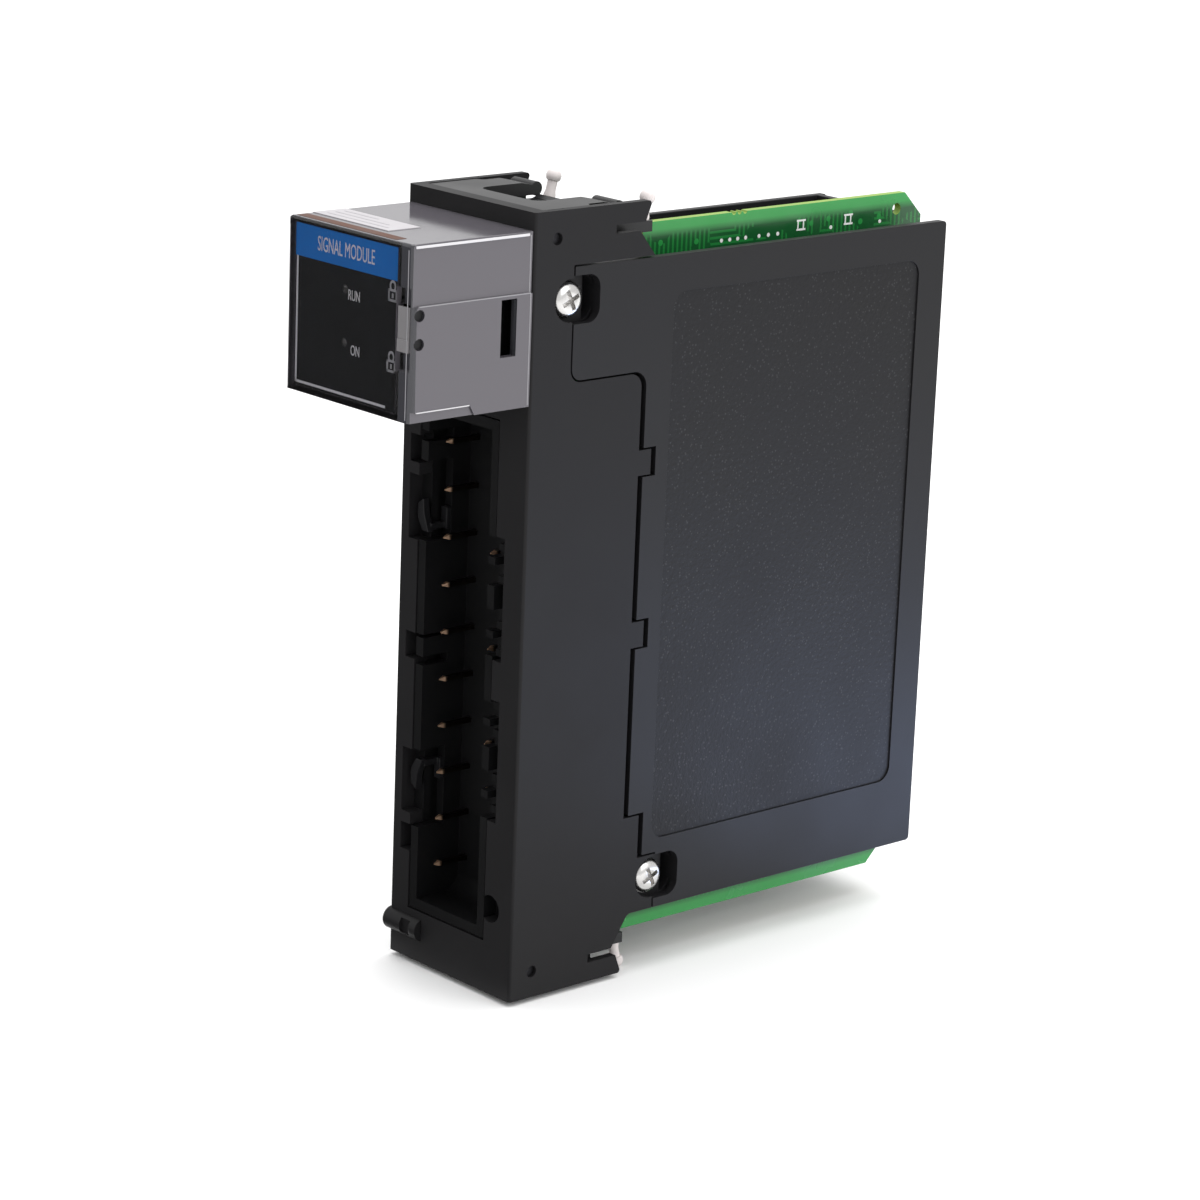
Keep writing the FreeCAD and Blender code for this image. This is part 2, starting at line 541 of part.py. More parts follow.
def latch():
    """Thumb latch for the top: hub, flush strip, two arms, sunk thumb pad and catch rails."""
    top = LATCH_TOP
    pivot_z = HEIGHT - PIVOT_DROP
    hub = rod(HUB_R, (-LATCH_HALF, PIVOT_Y, pivot_z), (LATCH_HALF, PIVOT_Y, pivot_z))
    web = box((-LATCH_HALF, LATCH_HALF), (3.6, 6.9), (pivot_z, top - 0.5))
    strip_outline = [
        (-LATCH_HALF, LATCH_FRONT, 0), (LATCH_HALF, LATCH_FRONT, 0), (LATCH_HALF, SHOULDER_Y, 0.8),
        (ARM_OUTER, SHOULDER_Y, 0.8), (ARM_OUTER, ARM_REAR, 0.8), (ARM_INNER, ARM_REAR, 0.8),
        (ARM_INNER, STRIP_REAR, 2.2), (-ARM_INNER, STRIP_REAR, 2.2), (-ARM_INNER, ARM_REAR, 0.8),
        (-ARM_OUTER, ARM_REAR, 0.8), (-ARM_OUTER, SHOULDER_Y, 0.8), (-LATCH_HALF, SHOULDER_Y, 0.8),
    ]
    plate = plan_plate(strip_outline, top - PLATE_THICK, top)
    slope = side_plate([(18.5, top, 0), (ARM_REAR + 1, top - 1.2, 0), (ARM_REAR + 1, top + 1, 0)],
                       -LATCH_HALF - 1, LATCH_HALF + 1)
    plate = cut(plate, [slope])
    tip_y, tip_z = ARM_REAR - ARM_TIP_R, top - ARM_TIP_R
    tips = [rod(ARM_TIP_R, (side * ARM_INNER, tip_y, tip_z), (side * ARM_OUTER, tip_y, tip_z))
            for side in (-1, 1)]
    pad = Part.Face(Part.Wire([
        Part.Arc(V(-ARM_INNER - 0.1, 7.6, top - 0.9), V(-ARM_INNER - 0.1, 14.5, top - 3.9),
                 V(-ARM_INNER - 0.1, 22.6, top - 2.3)).toShape(),
        Part.makeLine(V(-ARM_INNER - 0.1, 22.6, top - 2.3), V(-ARM_INNER - 0.1, 22.9, top - 3.7)),
        Part.Arc(V(-ARM_INNER - 0.1, 22.9, top - 3.7), V(-ARM_INNER - 0.1, 14.5, top - 5.4),
                 V(-ARM_INNER - 0.1, 7.0, top - 2.3)).toShape(),
        Part.makeLine(V(-ARM_INNER - 0.1, 7.0, top - 2.3), V(-ARM_INNER - 0.1, 7.6, top - 0.9)),
    ])).extrude(V(2 * ARM_INNER + 0.2, 0, 0))
    base = HEIGHT - RAIL_BASE_DROP
    rail = fuse([box(RAIL_X, (17.0, 30.3), (base, base + 2.0)),
                 box(RAIL_X, (17.0, 22.4), (base, top - PLATE_THICK + 0.3))])
    skirt = box((-ARM_INNER - 0.1, ARM_INNER + 0.1), SKIRT_Y, (top - SKIRT_DROP, top - 2.8))
    body = fuse([hub, web, plate, pad, skirt, rail, mirror_left(rail)] + tips)
    holes = [rod(PIN_BORE_R, (-HALF, PIVOT_Y, pivot_z), (HALF, PIVOT_Y, pivot_z))]
    for x in (-CATCH_X, CATCH_X):
        holes.append(rod(CATCH_R - 0.35, (x, CATCH_Y, base + 0.5), (x, CATCH_Y, base + 3)))
    return cut(body, holes)


def latch_catches():
    """Two round-nosed nylon studs that lock into the chassis."""
    base = HEIGHT - RAIL_BASE_DROP
    shoulder = base + 2.0
    centre_z = HEIGHT + CATCH_RISE - CATCH_R
    centre_y = CATCH_Y + (centre_z - shoulder) * math.tan(math.radians(CATCH_LEAN))
    studs = []
    for x in (-CATCH_X, CATCH_X):
        stem = rod(CATCH_R - 0.35, (x, CATCH_Y, base + 0.5), (x, CATCH_Y, shoulder + 0.1))
        foot = rod(CATCH_R, (x, CATCH_Y, shoulder), (x, CATCH_Y, shoulder + 0.4))
        shank = rod(CATCH_R, (x, CATCH_Y, shoulder), (x, centre_y, centre_z))
        below = box((x - 2, x + 2), (CATCH_Y - 2, CATCH_Y + 2), (shoulder - 1, shoulder))
        nose = Part.makeSphere(CATCH_R, V(x, centre_y, centre_z))
        studs.append(fuse([stem, foot, shank.cut(below), nose]))
    return Part.makeCompound(studs)


def latch_pin():
    """Steel pivot pin, a little short of the side walls' faces."""
    half = PIN_LENGTH / 2
    pivot_z = HEIGHT - PIVOT_DROP
    return rod(PIN_R, (-half, PIVOT_Y, pivot_z), (half, PIVOT_Y, pivot_z))


def latch_spring(low, high):
    """Coil return spring standing between two heights."""
    first = low + SPRING_WIRE_R + SPRING_GAP
    length = high - low - 2 * (SPRING_WIRE_R + SPRING_GAP)
    helix = Part.makeHelix(SPRING_PITCH, length, SPRING_R)
    circle = Part.Wire([Part.makeCircle(SPRING_WIRE_R, V(SPRING_R, 0, 0), V(0, 1, 0.07))])
    coil = Part.Wire(helix).makePipeShell([circle], True, True)
    coil.translate(V(0, SPRING_Y, first))
    return coil


def top_latch_spring():
    """Spring between the upper cup and the thumb pad."""
    return latch_spring(HEIGHT - SPRING_SEAT, HEIGHT - PAD_UNDERSIDE)


def bottom_latch_spring():
    """Spring between the lower cup and the thumb pad."""
    return latch_spring(PAD_UNDERSIDE, SPRING_SEAT)


def display_lens():
    """Clear status box: open at the back, with a window for the locking tab."""
    outer = box(LENS_X, (-BOX_REACH, LENS_BACK_Y), LENS_Z)
    outer = round_edges(outer, 1.5, lambda p, e: abs(p.x - HALF) < 0.01
                        and abs(p.y + BOX_REACH) < 0.01 and upright(e))
    outer = round_edges(outer, 0.6, lambda p, e: abs(p.z - LENS_Z[1]) < 0.01
                        and abs(p.y - LENS_BACK_Y) > 0.01)
    cavity = box((LENS_X[0] + LENS_WALL, HALF - 1.5), (-BOX_REACH + LENS_FRONT, 1),
                 (LENS_Z[0] + LENS_WALL, LENS_Z[1] - LENS_WALL))
    window = box((LENS_X[0] + LENS_WALL, CORE_X[1] + 0.1), (-BOX_REACH + LENS_WINDOW, 1),
                 (LENS_Z[0] + LENS_WALL, LENS_Z[1] - LENS_WALL))
    upper = box((STEP_X, HALF + 1), (-BOX_REACH - 1, 1), (STEP_Z, LENS_Z[1] + 1))
    lower = side_plate([(-BOX_REACH - 1, LENS_Z[0] - 1, 0), (-12.0, LENS_Z[0] - 1, 0),
                        (-13.6, 113.3, 0), (-BOX_REACH - 1, 113.3, 0)], STEP_X, HALF + 1)
    reach = TAB_TRAVEL + TAB_CLEAR
    recess = box((TAB_X[0] - TAB_CLEAR, TAB_X[1] + TAB_CLEAR),
                 (-BOX_REACH - 1, -BOX_REACH + TAB_THICK + TAB_CLEAR),
                 (TAB_Z[0] - reach, TAB_Z[1] + reach))
    slot = box((TAB_X[0] - TAB_CLEAR, TAB_BAR_X[1] + TAB_CLEAR),
               (-BOX_REACH - 1, -BOX_REACH + LENS_FRONT + 0.1),
               (TAB_STEM_Z[0] - reach, TAB_STEM_Z[1] + reach))
    side_slot = box((HALF - 2, HALF + 1), SIDE_SLOT[:2], SIDE_SLOT[2:])
    hook_gap = box((TAB_BAR_X[0] - 0.4, TAB_BAR_X[1] + 0.4), (-9.4, -2.0),
                   (LENS_Z[0] - 1, LENS_Z[0] + LENS_WALL + 0.1))
    dimples = [rod(1.05, (HALF - 0.7, -25.2, z), (HALF + 1, -25.2, z)) for z in (125.1, 130.1)]
    return cut(outer, [cavity, window, upper, lower, recess, slot, side_slot, hook_gap] + dimples)


def display_core():
    """Black tub behind the legend: carries the light pipes and plugs into the bezel."""
    outer = box(CORE_X, (CORE_FRONT, LENS_BACK_Y - 0.15), CORE_Z)
    inner = box((CORE_X[0] + 1.5, CORE_X[1] - 1.5), (CORE_FRONT + 2.0, 1),
                (CORE_Z[0] + 1.5, CORE_Z[1] - 1.5))
    spigot = box(SPIGOT_X, (-2.0, FRONT_WALL - 0.2), SPIGOT_Z)
    spigot_bore = box((SPIGOT_X[0] + 1.4, SPIGOT_X[1] - 1.4), (-3, FRONT_WALL + 1),
                      (SPIGOT_Z[0] + 1.4, SPIGOT_Z[1] - 1.4))
    rim = box((CORE_X[0] + 0.2, CORE_X[1] - 0.2), (-2.0, LENS_BACK_Y - 0.15),
              (CORE_Z[0] + 0.2, CORE_Z[1] - 0.2))
    tub = fuse([outer.cut(inner), fuse([rim, spigot]).cut(spigot_bore)])
    tubes = [rod(PIPE_R + 0.9, (x, CORE_FRONT + 1, z), (x, -6.0, z)) for x, z in PIPES]
    bores = [rod(PIPE_R + 0.05, (x, CORE_FRONT - 1, z), (x, 1, z)) for x, z in PIPES]
    return cut(fuse([tub] + tubes), bores)


def light_pipes():
    """Clear rods from the status board to the legend."""
    return Part.makeCompound([rod(PIPE_R, (x, CORE_FRONT, z), (x, LED_Y - 0.1, z)) for x, z in PIPES])


def legend_card():
    """Printed card behind the lens, with a hole over each light pipe."""
    card = box(CORE_X, (CORE_FRONT - CARD_THICK, CORE_FRONT), CORE_Z)
    holes = [rod(PIPE_R - 0.2, (x, CORE_FRONT - 1, z), (x, CORE_FRONT + 1, z)) for x, z in PIPES]
    return cut(card, holes)


def legend_band():
    """Coloured strip across the head of the card."""
    front = CORE_FRONT - CARD_THICK
    return box(CORE_X, (front - BAND_THICK, front), BAND_Z)


def top_label():
    """Paper label on top of the status box."""
    return box((-16.3, 4.9), (-22.4, -15.3), (LENS_Z[1], LENS_Z[1] + 0.12))


def status_board():
    """Small board behind the bezel that carries the indicators."""
    return box((-12.5, 8.2), STATUS_BOARD_Y, (115.5, 137.4))


def status_leds():
    """Indicator lamps in line with the light pipes."""
    return Part.makeCompound([
        box((x - 0.8, x + 0.8), (LED_Y, STATUS_BOARD_Y[0]), (z - 0.5, z + 0.5)) for x, z in PIPES])


def status_ribbon():
    """Flat cable from the status board to the main board."""
    thick = 0.35
    x0 = 2.0
    path = [(x0, STATUS_BOARD_Y[1], 0), (x0 + thick, STATUS_BOARD_Y[1], 0), (x0 + thick, 16.0, 2.0),
            (BOARD_X[0], 16.0, 0), (BOARD_X[0], 16.0 + thick, 0), (x0, 16.0 + thick, 2.3)]
    return plan_plate(path, 116.0, 122.0)


def locking_tab():
    """Sliding lock: thumb plate in its recess, strip and bar behind it, nose at the rear."""
    x0, x1 = TAB_X
    z0, z1 = TAB_Z
    face = -BOX_REACH
    inside = face + LENS_FRONT + TAB_CLEAR
    plate = box((x0, x1), (face + 0.15, face + TAB_THICK), (z0, z1))
    ledge = box((x0, x1), (face, face + TAB_THICK), (z0, z0 + 2.2))
    stem = box((x0, TAB_BAR_X[1]), (face + 0.3, inside + 0.1), TAB_STEM_Z)
    strip = box(TAB_BAR_X, (inside, inside + 1.2), (TAB_BAR_Z[0], TAB_STEM_Z[1]))
    bar = box(TAB_BAR_X, (inside, -3.4), TAB_BAR_Z)
    nose = side_plate([(-7.4, TAB_BAR_Z[0] + 0.1, 0), (-5.6, LENS_Z[0] + 0.8, 0),
                       (-3.4, LENS_Z[0] + 0.8, 0), (-3.4, TAB_BAR_Z[0] + 0.1, 0)], *TAB_BAR_X)
    return fuse([plate, ledge, stem, strip, bar, nose])


def backplane_plug():
    """Receptacle on the board's rear edge."""
    shell = box(PLUG_X, PLUG_Y, PLUG_Z)
    shell = round_edges(shell, 0.8, lambda p, e: abs(p.y - PLUG_Y[1]) < 0.01)
    slot = box((PLUG_X[0] + PLUG_WALL, PLUG_X[1] - PLUG_WALL), (PLUG_Y[1] - PLUG_CAVITY, PLUG_Y[1] + 1),
               (PLUG_Z[0] + 2.4, PLUG_Z[1] - 2.4))
    tools = [slot]
    for x, z in contact_places():
        tools.append(box((x - 0.3, x + 0.3), (PLUG_Y[0] - 1, PLUG_Y[1] - PLUG_CAVITY + 0.1),
                         (z - 0.6, z + 0.6)))
    return cut(shell, tools)


def contact_places():
    """Cross-section centres of the plug's contacts."""
    first = (PLUG_Z[0] + PLUG_Z[1]) / 2 - CONTACT_PITCH * (CONTACT_ROWS - 1) / 2
    columns = (PLUG_X[0] + PLUG_WALL + 0.3, PLUG_X[1] - PLUG_WALL - 0.3)
    return [(x, first + row * CONTACT_PITCH) for x in columns for row in range(CONTACT_ROWS)]


def plug_contacts():
    """Leaf contacts along both walls of the plug, with solder tails."""
    return Part.makeCompound([
        box((x - 0.3, x + 0.3), (PLUG_Y[0] - 1.5, PLUG_Y[1] - 1.2), (z - 0.6, z + 0.6))
        for x, z in contact_places()])


def power_module():
    """Encapsulated converter brick on the board's inner face."""
    brick = box((-1.6, BOARD_X[0]), (56.0, 80.0), (24.0, 58.0))
    return round_edges(brick, 0.8, lambda p, e: p.x < -1.5)


def isolation_transformers():
    """Two small wound transformers with moulded bobbins."""
    parts = []
    for z in (70.0, 86.0):
        core = box((0.4, 7.4), (60.0, 72.0), (z, z + 11.0))
        bobbin = box((7.4, BOARD_X[0]), (59.0, 73.0), (z - 0.8, z + 11.8))
        winding = rod(4.2, (-0.4, 66.0, z + 5.5), (0.5, 66.0, z + 5.5))
        parts.append(fuse([core, bobbin, winding]))
    return Part.makeCompound(parts)


def optocouplers():
    """Row of isolation couplers beside the terminal header."""
    return Part.makeCompound([
        box((4.9, BOARD_X[0]), (25.0, 31.4), (30.0 + 11.0 * i, 39.6 + 11.0 * i)) for i in range(7)])


def filter_capacitors():
    """Electrolytic cans standing on the board's inner face."""
    cans = []
    for y, z in ((40.0, 36.0), (40.0, 48.0), (40.0, 60.0), (48.0, 36.0), (48.0, 48.0), (48.0, 60.0)):
        can = rod(3.1, (-1.0, y, z), (BOARD_X[0], y, z))
        groove = rod(3.2, (5.4, y, z), (6.2, y, z)).cut(rod(2.8, (5.4, y, z), (6.2, y, z)))
        cans.append(can.cut(groove))
    return Part.makeCompound(cans)


def controller_chip():
    """Main processor, a flat square package."""
    return box((6.8, BOARD_X[0]), (40.0, 60.0), (100.0, 118.0))


def converter_chips():
    """Signal converter packages on the board's outer face."""
    return Part.makeCompound([
        box((BOARD_X[1], BOARD_X[1] + 1.8), (26.0, 33.5), (33.0 + 18.0 * i, 43.2 + 18.0 * i))
        for i in range(5)])


def reference_crystal():
    """Clock crystal can."""
    body = box((5.0, BOARD_X[0]), (66.0, 77.0), (106.0, 110.6))
    return round_edges(body, 1.9, lambda p, e: abs(e.tangentAt(e.FirstParameter).x) > 0.99)


NODES = {
    "front_housing": front_housing,
    "right_cover": right_cover,
    "left_cover": left_cover,
    "cover_screws": cover_screws,
    "screw_inserts": screw_inserts,
    "circuit_board": circuit_board,
    "terminal_header": terminal_header,
    "terminal_pins": terminal_pins,
    "key_clips": key_clips,
    "hinge_lug": hinge_lug,
    "top_latch": latch,
    "top_latch_catches": latch_catches,
    "top_latch_pin": latch_pin,
    "top_latch_spring": top_latch_spring,
    "bottom_latch": lambda: mirror_down(latch()),
    "bottom_latch_catches": lambda: mirror_down(latch_catches()),
    "bottom_latch_pin": lambda: mirror_down(latch_pin()),
    "bottom_latch_spring": bottom_latch_spring,
    "display_lens": display_lens,
    "display_core": display_core,
    "light_pipes": light_pipes,
    "legend_card": legend_card,
    "legend_band": legend_band,
    "top_label": top_label,
    "status_board": status_board,
    "status_leds": status_leds,
    "status_ribbon": status_ribbon,
    "locking_tab": locking_tab,
    "backplane_plug": backplane_plug,
    "plug_contacts": plug_contacts,
    "power_module": power_module,
    "isolation_transformers": isolation_transformers,
    "optocouplers": optocouplers,
    "filter_capacitors": filter_capacitors,
    "controller_chip": controller_chip,
    "converter_chips": converter_chips,
    "reference_crystal": reference_crystal,
}


def main():
    """Build every node and write it, moved to the part's origin."""
    os.makedirs("parts", exist_ok=True)
    for name, make in NODES.items():
        shape = make()
        shape.translate(ORIGIN_SHIFT)
        shape.exportStep(f"parts/{name}.step")
        print(name, len(shape.Solids), "solids", round(shape.Volume, 1), "mm3", shape.isValid())


main()
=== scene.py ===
"""Visual model of a plug-in analogue module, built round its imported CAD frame."""

import logging
import math
from dataclasses import dataclass
from enum import Enum
from functools import cache

import bmesh
import bpy
from mathutils import Matrix, Vector


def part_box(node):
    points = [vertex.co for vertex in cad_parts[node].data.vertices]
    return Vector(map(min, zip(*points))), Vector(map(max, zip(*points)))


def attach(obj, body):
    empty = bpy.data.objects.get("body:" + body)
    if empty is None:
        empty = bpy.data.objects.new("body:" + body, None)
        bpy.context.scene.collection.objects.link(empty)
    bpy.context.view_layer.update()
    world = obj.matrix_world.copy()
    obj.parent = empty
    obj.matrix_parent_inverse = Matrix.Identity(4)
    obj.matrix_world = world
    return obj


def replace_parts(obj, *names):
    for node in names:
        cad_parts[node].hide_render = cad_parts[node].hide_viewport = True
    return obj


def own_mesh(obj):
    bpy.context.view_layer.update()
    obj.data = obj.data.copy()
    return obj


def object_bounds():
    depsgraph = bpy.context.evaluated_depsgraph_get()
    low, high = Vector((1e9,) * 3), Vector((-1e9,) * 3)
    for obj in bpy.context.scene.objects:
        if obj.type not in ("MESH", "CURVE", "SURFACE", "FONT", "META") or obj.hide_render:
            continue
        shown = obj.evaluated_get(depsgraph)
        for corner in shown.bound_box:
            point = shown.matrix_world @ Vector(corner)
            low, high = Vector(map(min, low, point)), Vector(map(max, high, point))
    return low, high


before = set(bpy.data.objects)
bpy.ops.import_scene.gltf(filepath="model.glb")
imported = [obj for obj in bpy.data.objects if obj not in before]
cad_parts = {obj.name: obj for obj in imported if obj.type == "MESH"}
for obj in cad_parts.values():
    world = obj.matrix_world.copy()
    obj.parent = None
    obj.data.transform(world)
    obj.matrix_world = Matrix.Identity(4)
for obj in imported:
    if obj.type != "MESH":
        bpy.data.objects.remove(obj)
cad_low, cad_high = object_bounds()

log = logging.getLogger("module")

MM = 0.001
ROOT_BODY = "module_frame"
BENCH_SHIFT = -39.25 * MM           # the bezel's front face stands here
MERGE = 0.002 * MM                  # points of a CAD mesh closer than this are one
FLAT_ANGLE = math.radians(0.6)      # faces flatter than this to each other become one
SHARP_ANGLE = math.radians(35)      # an edge sharper than this keeps its crease
BREAK_ANGLE = math.radians(32)      # and one sharper than this is broken
OVERLAP = 0.01 * MM                 # print is sunk this far, so that it leaves no gap
Point = tuple[float, float, float]
Colour = tuple[float, float, float]
Range = tuple[float, float]
Tree = bpy.types.NodeTree
Node = bpy.types.Node
Socket = bpy.types.NodeSocket
Value = Socket | float | tuple[float, ...]


class Axis(Enum):
    """Direction that a flat piece faces."""

    FRONT = "front"
    RIGHT = "right"


# --- Wiring nodes ---


def feed(tree: Tree, socket: Socket, value: Value) -> None:
    """Link a value's socket to an input, or set the input to a plain value.

    Args:
        tree: The input's tree.
        socket: The input.
        value: What goes into it.
    """
    if isinstance(value, Socket):
        tree.links.new(value, socket)
    else:
        socket.default_value = value


def wire(tree: Tree, node: Node, **inputs: Value) -> None:
    """Set or link a node's inputs.

    Args:
        tree: The node's tree.
        node: The node.
        **inputs: Values or sockets, with underscores for the spaces of the inputs' names.
    """
    for label, value in inputs.items():
        feed(tree, node.inputs[label.replace("_", " ")], value)


def add_node(tree: Tree, kind: str, group: Tree | None = None, **inputs: Value) -> Node:
    """Add a node with its inputs set or linked.

    Args:
        tree: Tree to add to.
        kind: Type of the node, without its ShaderNode.
        group: Shared group that it places, for a Group node.
        **inputs: As for wire.

    Returns:
        The node.
    """
    node = tree.nodes.new(f"ShaderNode{kind}")
    if group is not None:
        node.node_tree = group
    wire(tree, node, **inputs)
    return node


def place_of(tree: Tree) -> Socket:
    """Position on the piece, in metres."""
    return add_node(tree, "TexCoord").outputs["Object"]


def maths(tree: Tree, operation: str, *values: Socket | float) -> Socket:
    """Add a Math node.

    Args:
        tree: Tree to add to.
        operation: The operation.
        *values: Its inputs in order.

    Returns:
        The result.
    """
    node = add_node(tree, "Math")
    node.operation = operation
    for socket, value in zip(node.inputs, values):
        feed(tree, socket, value)
    return node.outputs["Value"]


def spread(tree: Tree, value: Socket, low: float, high: float) -> Socket:
    """Spread a noise's value over a range. It seldom leaves 0.3 to 0.7.

    Args:
        tree: Tree to add to.
        value: The noise's value.
        low: Result at the low end.
        high: Result at the high end.

    Returns:
        The result.
    """
    ranged = add_node(tree, "MapRange", Value=value, From_Min=0.3, From_Max=0.7, To_Min=low, To_Max=high)
    return ranged.outputs["Result"]


def mix_colours(tree: Tree, mask: Socket, first: Socket | Colour, second: Socket | Colour) -> Socket:
    """Blend two colours by a mask.

    Args:
        tree: Tree to add to.
        mask: The socket that blends them.
        first: Colour where the mask is 0.
        second: Colour where the mask is 1.

    Returns:
        The blended colour.
    """
    mix = add_node(tree, "Mix")
    mix.data_type = "RGBA"
    first, second = (value if isinstance(value, Socket) else (*value, 1.0) for value in (first, second))
    wire(tree, mix, Factor=mask, A=first, B=second)
    return mix.outputs["Result"]


def bumped(tree: Tree, height: Socket, strength: float, depth: float) -> Socket:
    """Bend the surface normal by a height.

    Args:
        tree: Tree to add to.
        height: Height socket.
        strength: Strength of the bump.
        depth: Distance that a height of 1 stands for, in metres.

    Returns:
        The bent normal.
    """
    return add_node(tree, "Bump", Strength=strength, Distance=depth, Height=height).outputs["Normal"]


# --- Shader groups ---


class ShaderGroups:
    """Surface effects that several finishes share, each built once as a node group."""

    def _start(
        self, name: str, inputs: dict[str, float], outputs: tuple[str, ...]
    ) -> tuple[Tree, Node, Node]:
        """Make an empty group with its sockets.

        Args:
            name: Name of the group.
            inputs: Input names with their default values.
            outputs: Output names.

        Returns:
            The tree, its input node and its output node.
        """
        tree = bpy.data.node_groups.new(name, "ShaderNodeTree")
        for label, value in inputs.items():
            socket = tree.interface.new_socket(label, in_out="INPUT", socket_type="NodeSocketFloat")
            socket.default_value = value
        for label in outputs:
            tree.interface.new_socket(label, in_out="OUTPUT", socket_type="NodeSocketFloat")
        return tree, tree.nodes.new("NodeGroupInput"), tree.nodes.new("NodeGroupOutput")

    @cache
    def moulded_grain(self) -> Tree:
        """Spark-eroded grain of a moulded face: a height and a slow mottle.

        Returns:
            The node group.
        """
        defaults = {"Scale": 2600.0, "Mottle Scale": 45.0}
        tree, source, sink = self._start("moulded_grain", defaults, ("Height", "Mottle"))
        place = place_of(tree)
        fine = add_node(tree, "TexNoise", Vector=place, Scale=source.outputs["Scale"], Detail=2.0,
                        Roughness=0.62)
        slow = add_node(tree, "TexNoise", Vector=place, Scale=source.outputs["Mottle Scale"], Detail=3.0)
        wire(tree, sink, Height=fine.outputs["Fac"], Mottle=slow.outputs["Fac"])
        return tree

    @cache
    def dust_specks(self) -> Tree:
        """Sparse pale specks that lie on a handled surface.

        Returns:
            The node group.
        """
        defaults = {"Scale": 700.0, "Size": 0.05, "Share": 0.3}
        tree, source, sink = self._start("dust_specks", defaults, ("Mask",))
        cells = add_node(tree, "TexVoronoi", Vector=place_of(tree), Scale=source.outputs["Scale"])
        near = maths(tree, "LESS_THAN", cells.outputs["Distance"], source.outputs["Size"])
        hue = add_node(tree, "SeparateColor", Color=cells.outputs["Color"])
        chosen = maths(tree, "LESS_THAN", hue.outputs["Red"], source.outputs["Share"])
        wire(tree, sink, Mask=maths(tree, "MULTIPLY", near, chosen))
        return tree

    @cache
    def board_tracks(self) -> Tree:
        """Bundles of straight tracks and vias under a solder mask, and two paler bands along the top and
        bottom edges: painted light, the upper band standing for the lit strip of board above the cover's
        shadow.

        Returns:
            The node group.
        """
        turn_scale, bundle_scale, cloud_scale = 62.0, 105.0, 160.0
        turn_level, bundle_level = 0.5, 0.47
        via_scale, via_scatter, via_radius = 230.0, 0.75, 0.13
        track_tone, via_tone = 0.5, 0.8
        painted_light_fade = 0.7 * MM
        defaults = {"Pitch": 1.1 * MM, "Width": 0.42, "Middle Z": 72.45 * MM, "Painted Light From": 65.2 * MM}
        tree, source, sink = self._start("board_tracks", defaults, ("Copper", "Cloud"))
        place = place_of(tree)
        parts = add_node(tree, "SeparateXYZ", Vector=place)
        turn, bundle, cloud = (add_node(tree, "TexNoise", Vector=place, Scale=scale).outputs["Fac"]
                               for scale in (turn_scale, bundle_scale, cloud_scale))
        lines = []
        for axis in ("Y", "Z"):
            repeat = maths(tree, "FRACT", maths(tree, "DIVIDE", parts.outputs[axis], source.outputs["Pitch"]))
            lines.append(maths(tree, "LESS_THAN", repeat, source.outputs["Width"]))
        turned = maths(tree, "GREATER_THAN", turn, turn_level)
        across = maths(tree, "MULTIPLY", lines[0], turned)
        along = maths(tree, "MULTIPLY", lines[1], maths(tree, "SUBTRACT", 1.0, turned))
        tracks = maths(tree, "MULTIPLY", maths(tree, "MAXIMUM", across, along),
                       maths(tree, "GREATER_THAN", bundle, bundle_level))
        cells = add_node(tree, "TexVoronoi", Vector=place, Scale=via_scale, Randomness=via_scatter)
        vias = maths(tree, "LESS_THAN", cells.outputs["Distance"], via_radius)
        inner = maths(tree, "MAXIMUM", maths(tree, "MULTIPLY", tracks, track_tone),
                      maths(tree, "MULTIPLY", vias, via_tone))
        # painted light: beyond a set distance from the middle the board turns paler, the lit strip above the
        # cover's shadow; the darker board below it is painted shade
        off_middle = maths(tree, "SUBTRACT", parts.outputs["Z"], source.outputs["Middle Z"])
        past_painted_light = maths(tree, "SUBTRACT", maths(tree, "ABSOLUTE", off_middle), source.outputs["Painted Light From"])
        painted_light = add_node(tree, "MapRange", Value=past_painted_light, From_Min=-painted_light_fade, From_Max=painted_light_fade)
        wire(tree, sink, Copper=maths(tree, "MAXIMUM", inner, painted_light.outputs["Result"]), Cloud=cloud)
        return tree


GROUPS = ShaderGroups()


# --- Finishes ---


def start_material(name: str, **inputs: Value) -> tuple[bpy.types.Material, Tree, Node]:
    """Make a material with one Principled shader.

    Args:
        name: Name of the material.
        **inputs: Even values of the shader, as for wire.

    Returns:
        The material, its tree and the shader node.
    """
    material = bpy.data.materials.new(name)
    material.use_nodes = True
    tree = material.node_tree
    shader = tree.nodes["Principled BSDF"]
    wire(tree, shader, **inputs)
    return material, tree, shader


@dataclass(frozen=True)
class MouldedPlastic:
    """Satin moulded plastic with grain, a slow mottle and a few specks of dust."""

    name: str
    slot: str
    dark: Colour
    light: Colour
    rough: Range = (0.42, 0.56)
    grain: float = 2600.0
    depth: float = 0.02 * MM
    strength: float = 0.35
    dust: float = 0.0
    dust_scale: float = 1500.0
    dust_size: float = 0.3
    speck: Colour = (0.026, 0.026, 0.028)
    shine: float = 0.3

    def build(self) -> bpy.types.Material:
        """Make the material.

        Returns:
            The material.
        """
        material, tree, shader = start_material(self.name, Specular_IOR_Level=self.shine)
        grain = add_node(tree, "Group", GROUPS.moulded_grain(), Scale=self.grain)
        mottle = grain.outputs["Mottle"]
        colour = mix_colours(tree, mottle, self.dark, self.light)
        if self.dust > 0:
            specks = add_node(tree, "Group", GROUPS.dust_specks(), Scale=self.dust_scale, Share=self.dust,
                              Size=self.dust_size)
            colour = mix_colours(tree, specks.outputs["Mask"], colour, self.speck)
        wire(tree, shader, Base_Color=colour, Roughness=spread(tree, mottle, *self.rough),
             Normal=bumped(tree, grain.outputs["Height"], self.strength, self.depth))
        return material


